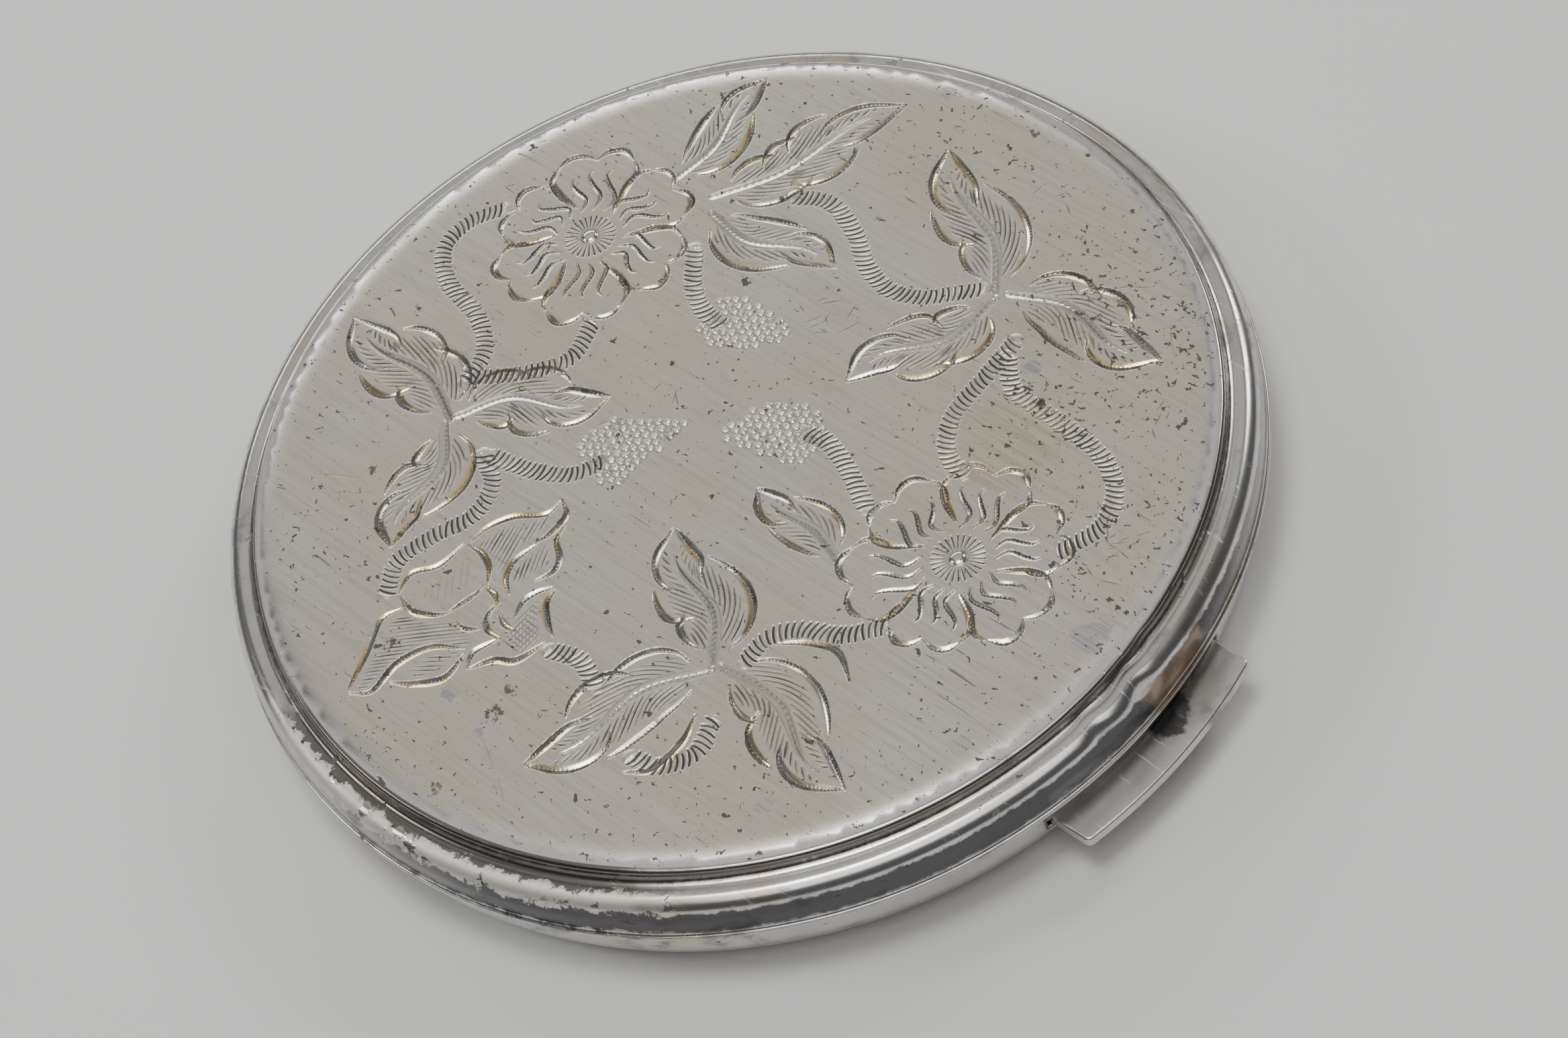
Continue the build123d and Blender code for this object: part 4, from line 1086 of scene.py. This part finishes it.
def mirror_material():
    """Silvered glass: near-perfect mirror with faint smears and a little foxing round the edge."""
    n = Nodes("mirror")
    edge = n.ramp(n.away(), 29.5, 33.5)
    foxing = n.times(n.ramp(n.noise(1.7, 5.0, 0.7), 0.58, 0.64), edge)
    base = n.mix(n.noise(16, 3.0), (0.86, 0.88, 0.885), (0.90, 0.91, 0.91))
    base = n.mix(foxing, base, (0.20, 0.17, 0.13))
    smear = n.ramp(n.noise(9, 4.0, 0.6, (1, 0.3, 1), 0.6), 0.5, 0.75)
    rough = n.plus(n.blend(smear, 0.015, 0.07), n.times(foxing, 0.4))
    n.set(Base_Color=base, Metallic=1.0, Roughness=rough)
    return n.material


def velour_material():
    """Short pile: soft mottling, a fine upright nap with its hollows painted darker as shade, and powder
    worked into it.
    """
    n = Nodes("velour")
    nap = n.noise(0.28, 3.0, 0.7)
    brushed = n.noise(4.5, 4.0, 0.6, (1, 0.5, 1), 0.7, 0.8)
    base = n.mix(n.ramp(brushed, 0.36, 0.66), (0.70, 0.47, 0.39), (0.80, 0.60, 0.50))
    # darker where the nap is low, where the bump below sinks it: painted shade in the pile
    base = n.paint((0.50, 0.31, 0.25), base, n.ramp(nap, 0.35, 0.62), 0.6)
    powder = n.times(n.ramp(n.noise(6.5, 5.0, 0.65, shift=(3, 3, 0)), 0.46, 0.66), 0.6)
    base = n.mix(powder, base, (0.86, 0.73, 0.63))
    n.set(Base_Color=base, Normal=n.bump(nap, 0.7, 0.16, n.bump(brushed, 0.3, 0.25)))
    n.shader.inputs["Roughness"].default_value = 0.92
    n.shader.inputs["Sheen Weight"].default_value = 0.5
    n.shader.inputs["Sheen Roughness"].default_value = 0.4
    return n.material


def ribbon_material():
    """Satin: fine crosswise ribs, long soft highlights and a slightly rubbed surface."""
    n = Nodes("satin_ribbon")
    warp = n.noise(0.16, 1.0, 0.4, (0.05, 1, 1))
    weft = n.noise(0.12, 1.0, 0.4, (1, 0.05, 1), shift=(2, 0, 0))
    cloud = n.noise(5, 3.0)
    base = n.mix(n.ramp(cloud, 0.4, 0.65), (0.62, 0.36, 0.30), (0.70, 0.44, 0.37))
    base = n.paint(base, (0.80, 0.58, 0.50), warp, 0.35)
    n.set(Base_Color=base, Roughness=n.blend(weft, 0.30, 0.46),
          Normal=n.bump(n.plus(warp, weft), 0.25, 0.03))
    n.shader.inputs["Sheen Weight"].default_value = 0.25
    return n.material


THREAD_PITCH = 0.42  # of the sifter's net, in millimetres


def gauze_material():
    """Fine open net: crossing threads over holes painted dark as the shade under the net, with powder caught
    in it.
    """
    n = Nodes("gauze")
    waves = [n.math("SINE", n.times(n.along(axis), math.pi / THREAD_PITCH)) for axis in ("X", "Y")]
    net = n.most(*[n.ramp(n.math("ABSOLUTE", wave), 0.62, 0.42) for wave in waves])
    # the holes between the threads take a dark tone: painted shade of the space under the net
    base = n.mix(net, (0.20, 0.14, 0.10), (0.80, 0.71, 0.58))
    powder = n.ramp(n.noise(5, 5.0, 0.65), 0.44, 0.64)
    base = n.paint(base, (0.84, 0.70, 0.59), powder, 0.7)
    n.set(Base_Color=base, Normal=n.bump(net, 0.5, 0.08))
    n.shader.inputs["Roughness"].default_value = 0.85
    return n.material


def card_material():
    n = Nodes("grey_card")
    fibre = n.noise(0.5, 5.0, 0.7, (1, 0.5, 1), 0.4)
    n.set(Base_Color=n.mix(fibre, (0.40, 0.36, 0.30), (0.56, 0.51, 0.44)), Normal=n.bump(fibre, 0.3, 0.05))
    n.shader.inputs["Roughness"].default_value = 0.9
    return n.material


def pale_floor():
    n = Nodes("pale_floor")
    base = n.mix(n.noise(60, 3.0), (0.74, 0.73, 0.71), (0.78, 0.77, 0.75))
    n.set(Base_Color=base)
    n.shader.inputs["Roughness"].default_value = 0.65
    return n.material


RIM_PLATE = polished_plate("polished_plate", (0.70, 0.68, 0.66))
BASE_PLATE = polished_plate("base_plate", (0.60, 0.59, 0.585), 1.15, 0.05)
THUMB_PLATE = polished_plate("thumb_plate", (0.74, 0.715, 0.68), 1.0, 0.06)
GILT = turned_metal("gilt_turned", (0.78, 0.60, 0.32), (0.70, 0.56, 0.36))
GILT_SHEET = satin_metal("gilt_sheet", (0.78, 0.60, 0.32), (0.70, 0.56, 0.36), dust=0.3)
INNER = turned_metal("inner_plate", (0.70, 0.67, 0.61), (0.62, 0.56, 0.48))
BRASS = satin_metal("raw_brass", (0.66, 0.50, 0.26), (0.52, 0.38, 0.20), low=0.34, high=0.5, dirt=0.9)
STEEL = satin_metal("spring_steel", (0.42, 0.42, 0.43), (0.34, 0.33, 0.33), low=0.22, high=0.36, dirt=0.8)

# ==== Casings ====


def stand_for(piece, node, body):
    """The piece rides on a body in place of a CAD node."""
    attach(piece, body)
    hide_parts(node)


SLOT_HALF_ANGLE = 14.0
stand_for(make_lid(brushed_plate(), RIM_PLATE), "lid_shell", "lid")
stand_for(turned("base_casing", base_section(), BASE_PLATE, (SLOT_LOW, SLOT_HIGH, SLOT_HALF_ANGLE)),
          "base_shell", "base")

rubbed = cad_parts["thumb_plate"].modifiers.new("rubbed_edge", "BEVEL")
rubbed.width = 0.14 * MM
rubbed.segments = 3

# ==== Inside the compact ====


def part_box(node):
    """Outer radius, bottom and top of a round CAD node, in millimetres."""
    low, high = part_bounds(node)
    return high.x / MM, low.z / MM, high.z / MM


def round_piece(name, node, section, material, body):
    stand_for(turned(name, section, material), node, body)


# powder door: flat border with a rolled edge, a pressed-up middle and two fine rings on it
DOOR_RADIUS, DOOR_LOW, DOOR_HIGH = part_box("powder_door")
DOOR_SHEET = 0.35
DOOR_RISE = DOOR_HIGH - DOOR_LOW - DOOR_SHEET
BORDER = DOOR_RADIUS - 3.6
door_top = [(0, DOOR_HIGH)]
for ring_radius in (12.0, 26.4, 27.2):
    door_top += [(ring_radius + dr, DOOR_HIGH + dz) for dr, dz in
                 ((-0.28, 0), (-0.14, -0.05), (0, -0.09), (0.14, -0.05), (0.28, 0))]
door_top += [(BORDER - 0.85, DOOR_HIGH), (BORDER - 0.62, DOOR_HIGH - 0.03),
             (BORDER - 0.3, DOOR_HIGH - DOOR_RISE / 2), (BORDER, DOOR_HIGH - DOOR_RISE + 0.03),
             (BORDER + 0.25, DOOR_HIGH - DOOR_RISE)]
door_top += arc((DOOR_RADIUS - 0.15, DOOR_LOW + DOOR_SHEET - 0.15), 0.15, 90, 0, 5)
door_top += arc((DOOR_RADIUS - 0.12, DOOR_LOW + 0.12), 0.12, 0, -90, 4)
door_top += [(BORDER, DOOR_LOW), (BORDER - 2 * DOOR_RISE, DOOR_LOW + DOOR_RISE), (0, DOOR_LOW + DOOR_RISE)]
round_piece("powder_door_disc", "powder_door", door_top, GILT, "door")

# mirror glass with a narrow ground bevel, and its bezel with a rolled lip
GLASS_RADIUS, GLASS_LOW, GLASS_HIGH = part_box("mirror_glass")
round_piece("mirror_disc", "mirror_glass",
            [(0, GLASS_LOW), (GLASS_RADIUS - 2.4, GLASS_LOW), (GLASS_RADIUS - 0.2, GLASS_LOW + 0.12),
             (GLASS_RADIUS, GLASS_LOW + 0.3), (GLASS_RADIUS, GLASS_HIGH), (0, GLASS_HIGH)],
            mirror_material(), "lid")
BEZEL_RADIUS, BEZEL_LOW, BEZEL_HIGH = part_box("mirror_bezel")
BEZEL_INSIDE = BEZEL_RADIUS - 0.35
round_piece("mirror_bezel_ring", "mirror_bezel",
            [(BEZEL_INSIDE - 1.2, BEZEL_LOW + 0.34)]
            + arc((BEZEL_INSIDE - 0.95, BEZEL_LOW + 0.22), 0.16, 180, 260, 5)
            + [(BEZEL_INSIDE - 0.5, BEZEL_LOW + 0.03)]
            + arc((BEZEL_RADIUS - 0.3, BEZEL_LOW + 0.3), 0.3, -90, 0, 7)
            + [(BEZEL_RADIUS, BEZEL_HIGH), (BEZEL_INSIDE, BEZEL_HIGH), (BEZEL_INSIDE, BEZEL_LOW + 0.36)],
            GILT, "lid")

# collar with a rounded top edge
COLLAR_RADIUS, COLLAR_LOW, COLLAR_HIGH = part_box("collar_ring")
COLLAR_INSIDE = COLLAR_RADIUS - 0.45
round_piece("collar_band", "collar_ring",
            [(COLLAR_RADIUS, COLLAR_LOW)] + arc((COLLAR_RADIUS - 0.2, COLLAR_HIGH - 0.2), 0.2, 0, 90, 6)
            + arc((COLLAR_INSIDE + 0.1, COLLAR_HIGH - 0.1), 0.1, 90, 180, 4) + [(COLLAR_INSIDE, COLLAR_LOW)],
            INNER, "base")

# sifter ring and its net
SIFTER_RADIUS, SIFTER_LOW, SIFTER_HIGH = part_box("sifter_ring")
LEDGE = SIFTER_LOW + 0.45
round_piece("sifter_frame", "sifter_ring",
            [(SIFTER_RADIUS, SIFTER_LOW)] + arc((SIFTER_RADIUS - 0.2, SIFTER_HIGH - 0.2), 0.2, 0, 180, 9)
            + [(SIFTER_RADIUS - 0.4, LEDGE + 0.5), (SIFTER_RADIUS - 0.5, LEDGE + 0.4)]
            + arc((SIFTER_RADIUS - 1.55, LEDGE + 0.2), 0.2, 90, 270, 7)
            + [(SIFTER_RADIUS - 0.4, LEDGE), (SIFTER_RADIUS - 0.4, SIFTER_LOW)],
            GILT, "base")


PUFF_RADIUS, PUFF_LOW, PUFF_HIGH = part_box("puff")
PUFF_CAP = 0.7  # how far the cloth may move a point, in millimetres


def inflated(piece, pressure, frames, scale):
    """Blows a closed mesh up with Blender's cloth, at a larger scale where it is steadier. Its points move
    by no more than the cap."""
    mesh = piece.data
    mesh.transform(Matrix.Scale(scale, 4))
    start = np.empty(len(mesh.vertices) * 3)
    mesh.vertices.foreach_get("co", start)
    cloth = piece.modifiers.new("cloth", "CLOTH")
    cloth.settings.use_pressure = True
    cloth.settings.uniform_pressure_force = pressure
    cloth.settings.effector_weights.gravity = 0
    cloth.settings.pin_stiffness = 1.0
    cloth.settings.vertex_group_mass = "seam"
    cloth.point_cache.frame_start = 1
    cloth.point_cache.frame_end = frames
    for frame_number in range(1, frames + 1):
        bpy.context.scene.frame_set(frame_number)
    blown = piece.evaluated_get(bpy.context.evaluated_depsgraph_get()).to_mesh()
    moved = np.empty(len(mesh.vertices) * 3)
    blown.vertices.foreach_get("co", moved)
    piece.modifiers.remove(cloth)
    bpy.context.scene.frame_set(1)
    cap = PUFF_CAP * MM * scale
    mesh.vertices.foreach_set("co", start + np.clip(moved - start, -cap, cap))
    mesh.transform(Matrix.Scale(1 / scale, 4))
    mesh.update()


# puff: two rounds of velour sewn together at the edge, and blown up
SEAM_RADIUS = PUFF_RADIUS - 0.35
PUFF_MIDDLE = (PUFF_LOW + PUFF_HIGH) / 2
PUFF_HALF = 0.62  # half its thickness before it is blown up
STITCH_STEP, STITCH_PULL = 4, 0.006  # every fourth point of the seam is drawn in by this share
AROUND = 96
RINGS = (0, 0.12, 0.24, 0.36, 0.48, 0.60, 0.71, 0.81, 0.89, 0.95, 0.985, 1.0)
puff_section = [(SEAM_RADIUS * q, PUFF_MIDDLE + PUFF_HALF * math.sqrt(1 - q**6)) for q in RINGS]
puff_section += [(SEAM_RADIUS * q, PUFF_MIDDLE - PUFF_HALF * math.sqrt(1 - q**6)) for q in RINGS[-2::-1]]
puff_verts, puff_rows = lathe(puff_section, AROUND)
puff_verts = np.asarray(puff_verts)
seam_row = puff_rows[len(RINGS) - 1]
puff_verts[seam_row[::STITCH_STEP], :2] *= 1 - STITCH_PULL
puff_faces = []
for upper, lower in zip(puff_rows, puff_rows[1:]):
    puff_faces += band(upper, lower)
puff = new_object("velour_puff", puff_verts * MM, puff_faces, (velour_material(),))
seam = puff.vertex_groups.new(name="seam")
seam.add(seam_row, 1.0, "REPLACE")
inflated(puff, pressure=4.0, frames=20, scale=10.0)
subdivided = puff.modifiers.new("round", "SUBSURF")
subdivided.levels = subdivided.render_levels = 1
final_mesh = bpy.data.meshes.new_from_object(puff.evaluated_get(bpy.context.evaluated_depsgraph_get()))
puff.modifiers.clear()
puff.data = final_mesh
points = np.empty(len(final_mesh.vertices) * 3)
final_mesh.vertices.foreach_get("co", points)
points = points.reshape(-1, 3)
# the blown shape is flattened to the room between the net and the ribbon
spread = (PUFF_HIGH - PUFF_LOW) * MM / np.ptp(points[:, 2])
points[:, 2] = (points[:, 2] - points[:, 2].min()) * spread + PUFF_LOW * MM
limit = PUFF_RADIUS * MM / np.hypot(points[:, 0], points[:, 1]).max()
points[:, :2] *= min(1.0, limit)
final_mesh.vertices.foreach_set("co", points.ravel())
final_mesh.update()
stand_for(puff, "puff", "base")

# satin ribbon across the puff, its ends stopping just short of the seam
ribbon_low, ribbon_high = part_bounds("puff_ribbon")
RIBBON_WIDTH = (ribbon_high.y - ribbon_low.y) / MM
RIBBON_TOP = ribbon_high.z / MM
RIBBON_HALF = SEAM_RADIUS - 0.5
ACROSS, ALONG = 13, 61  # points across the ribbon and along it
tree = BVHTree.FromObject(puff, bpy.context.evaluated_depsgraph_get())
ribbon_verts = []
for x in np.linspace(-RIBBON_HALF, RIBBON_HALF, ALONG):
    for y in np.linspace(-RIBBON_WIDTH / 2, RIBBON_WIDTH / 2, ACROSS):
        hit = tree.ray_cast(Vector((x, y, TOP)) * MM, Vector((0, 0, -1)))[0]
        rest = hit.z / MM if hit else PUFF_MIDDLE
        curl = 0.03 * (abs(y) / (RIBBON_WIDTH / 2)) ** 4
        lift = 0.05 + 0.02 * math.sin(0.35 * x + 1) * math.cos(0.5 * y) + curl
        ribbon_verts.append((x, y, min(rest + lift, RIBBON_TOP - 0.06)))
ribbon_faces = [[i * ACROSS + j, (i + 1) * ACROSS + j, (i + 1) * ACROSS + j + 1, i * ACROSS + j + 1]
                for i in range(ALONG - 1) for j in range(ACROSS - 1)]
ribbon = new_object("satin_band", np.asarray(ribbon_verts) * MM, ribbon_faces, (ribbon_material(),))
shell = ribbon.modifiers.new("thickness", "SOLIDIFY")
shell.thickness = 0.08 * MM
shell.offset = 0
stand_for(ribbon, "puff_ribbon", "base")

FINISHES = {
    "base_hinge_leaf": BASE_PLATE, "lid_hinge_leaf": BASE_PLATE, "hinge_pin": BASE_PLATE,
    "thumb_plate": THUMB_PLATE, "powder_tray": INNER, "sifter_gauze": gauze_material(),
    "mirror_pad": card_material(),
    "door_hinge_leaf": GILT_SHEET, "door_lift_tab": GILT_SHEET, "tray_hinge_leaf": GILT_SHEET,
    "door_hinge_pin": STEEL, "door_spring": STEEL, "catch_hook": BRASS, "catch_rivets": BRASS,
    "lid_keeper": BRASS,
}
for name, material in FINISHES.items():
    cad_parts[name].data.materials.clear()
    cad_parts[name].data.materials.append(material)

# The catch's bow spring: its middle rests on the powder well, and its ends bear on the thumb plate.
spring_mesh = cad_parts["catch_spring"].data.copy()
spring_mesh.materials.clear()
spring_mesh.materials.append(STEEL)
bow_spring = bpy.data.objects.new("catch_bow_spring", spring_mesh)
bpy.context.scene.collection.objects.link(bow_spring)
bow_spring.matrix_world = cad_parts["catch_spring"].matrix_world
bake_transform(bow_spring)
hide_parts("catch_spring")

# ==== Floor, lights and camera ====

REACH = 1.5
floor = new_object("floor", [(-REACH, -REACH, 0), (REACH, -REACH, 0), (REACH, REACH, 0), (-REACH, REACH, 0)],
                   [(0, 1, 2, 3)], (pale_floor(),), False)

# A broad dim panel that the plate mirrors, a top light, a canopy over the front, two side panels that the cut
# facets catch, and a low strip that the plateau's rolled edge mirrors: name, place, size, watts, tone
LIGHTS = (
    ("mirrored_panel", (0.23, 0.38, 0.74), (0.62, 0.48), 0.43, (1.0, 0.98, 0.93)),
    ("top_light", (-0.06, 0.02, 0.85), (0.26, 0.26), 2.2, (1.0, 1.0, 1.0)),
    ("front_canopy", (-0.14, -0.26, 0.74), (0.76, 0.60), 2.5, (1.0, 1.0, 1.0)),
    ("left_panel", (-0.42, 0.50, 0.52), (0.22, 0.22), 1.4, (0.96, 0.98, 1.0)),
    ("right_panel", (0.72, 0.05, 0.50), (0.24, 0.24), 1.6, (1.0, 1.0, 1.0)),
    ("edge_strip", (0.30, 0.53, 0.33), (0.66, 0.09), 1.1, (1.0, 1.0, 1.0)),
)
LIGHTS_AIM = Vector((0, 0, 0.005))
WORLD_STRENGTH = 0.16

for name, place, size, watts, tone in LIGHTS:
    data = bpy.data.lights.new(name, "AREA")
    data.shape = "RECTANGLE"
    data.size, data.size_y = size
    data.energy = watts
    data.color = tone
    lamp = bpy.data.objects.new(name, data)
    bpy.context.scene.collection.objects.link(lamp)
    lamp.location = place
    lamp.rotation_euler = (LIGHTS_AIM - lamp.location).to_track_quat("-Z", "Y").to_euler()

world = bpy.data.worlds.new("studio")
world.use_nodes = True
background = world.node_tree.nodes["Background"]
background.inputs["Color"].default_value = (0.55, 0.56, 0.58, 1)
background.inputs["Strength"].default_value = WORLD_STRENGTH
bpy.context.scene.world = world

# The camera looks down at the front left of the compact, turned so that the rim tilts in the frame.
CAMERA_PLACE = Vector((-0.0876, -0.1537, 0.2261))
CAMERA_AIM = Vector((-0.00296, -0.00828, 0.010))
CAMERA_ROLL = math.radians(-21.63)
camera_data = bpy.data.cameras.new("camera")
camera_data.lens = 91.5
camera_data.sensor_width = 36.0
camera_data.clip_start = 0.01
camera = bpy.data.objects.new("camera", camera_data)
bpy.context.scene.collection.objects.link(camera)
look = (CAMERA_AIM - CAMERA_PLACE).to_track_quat("-Z", "Y")
camera.matrix_world = (Matrix.Translation(CAMERA_PLACE) @ look.to_matrix().to_4x4()
                       @ Matrix.Rotation(CAMERA_ROLL, 4, "Z"))
bpy.context.scene.camera = camera
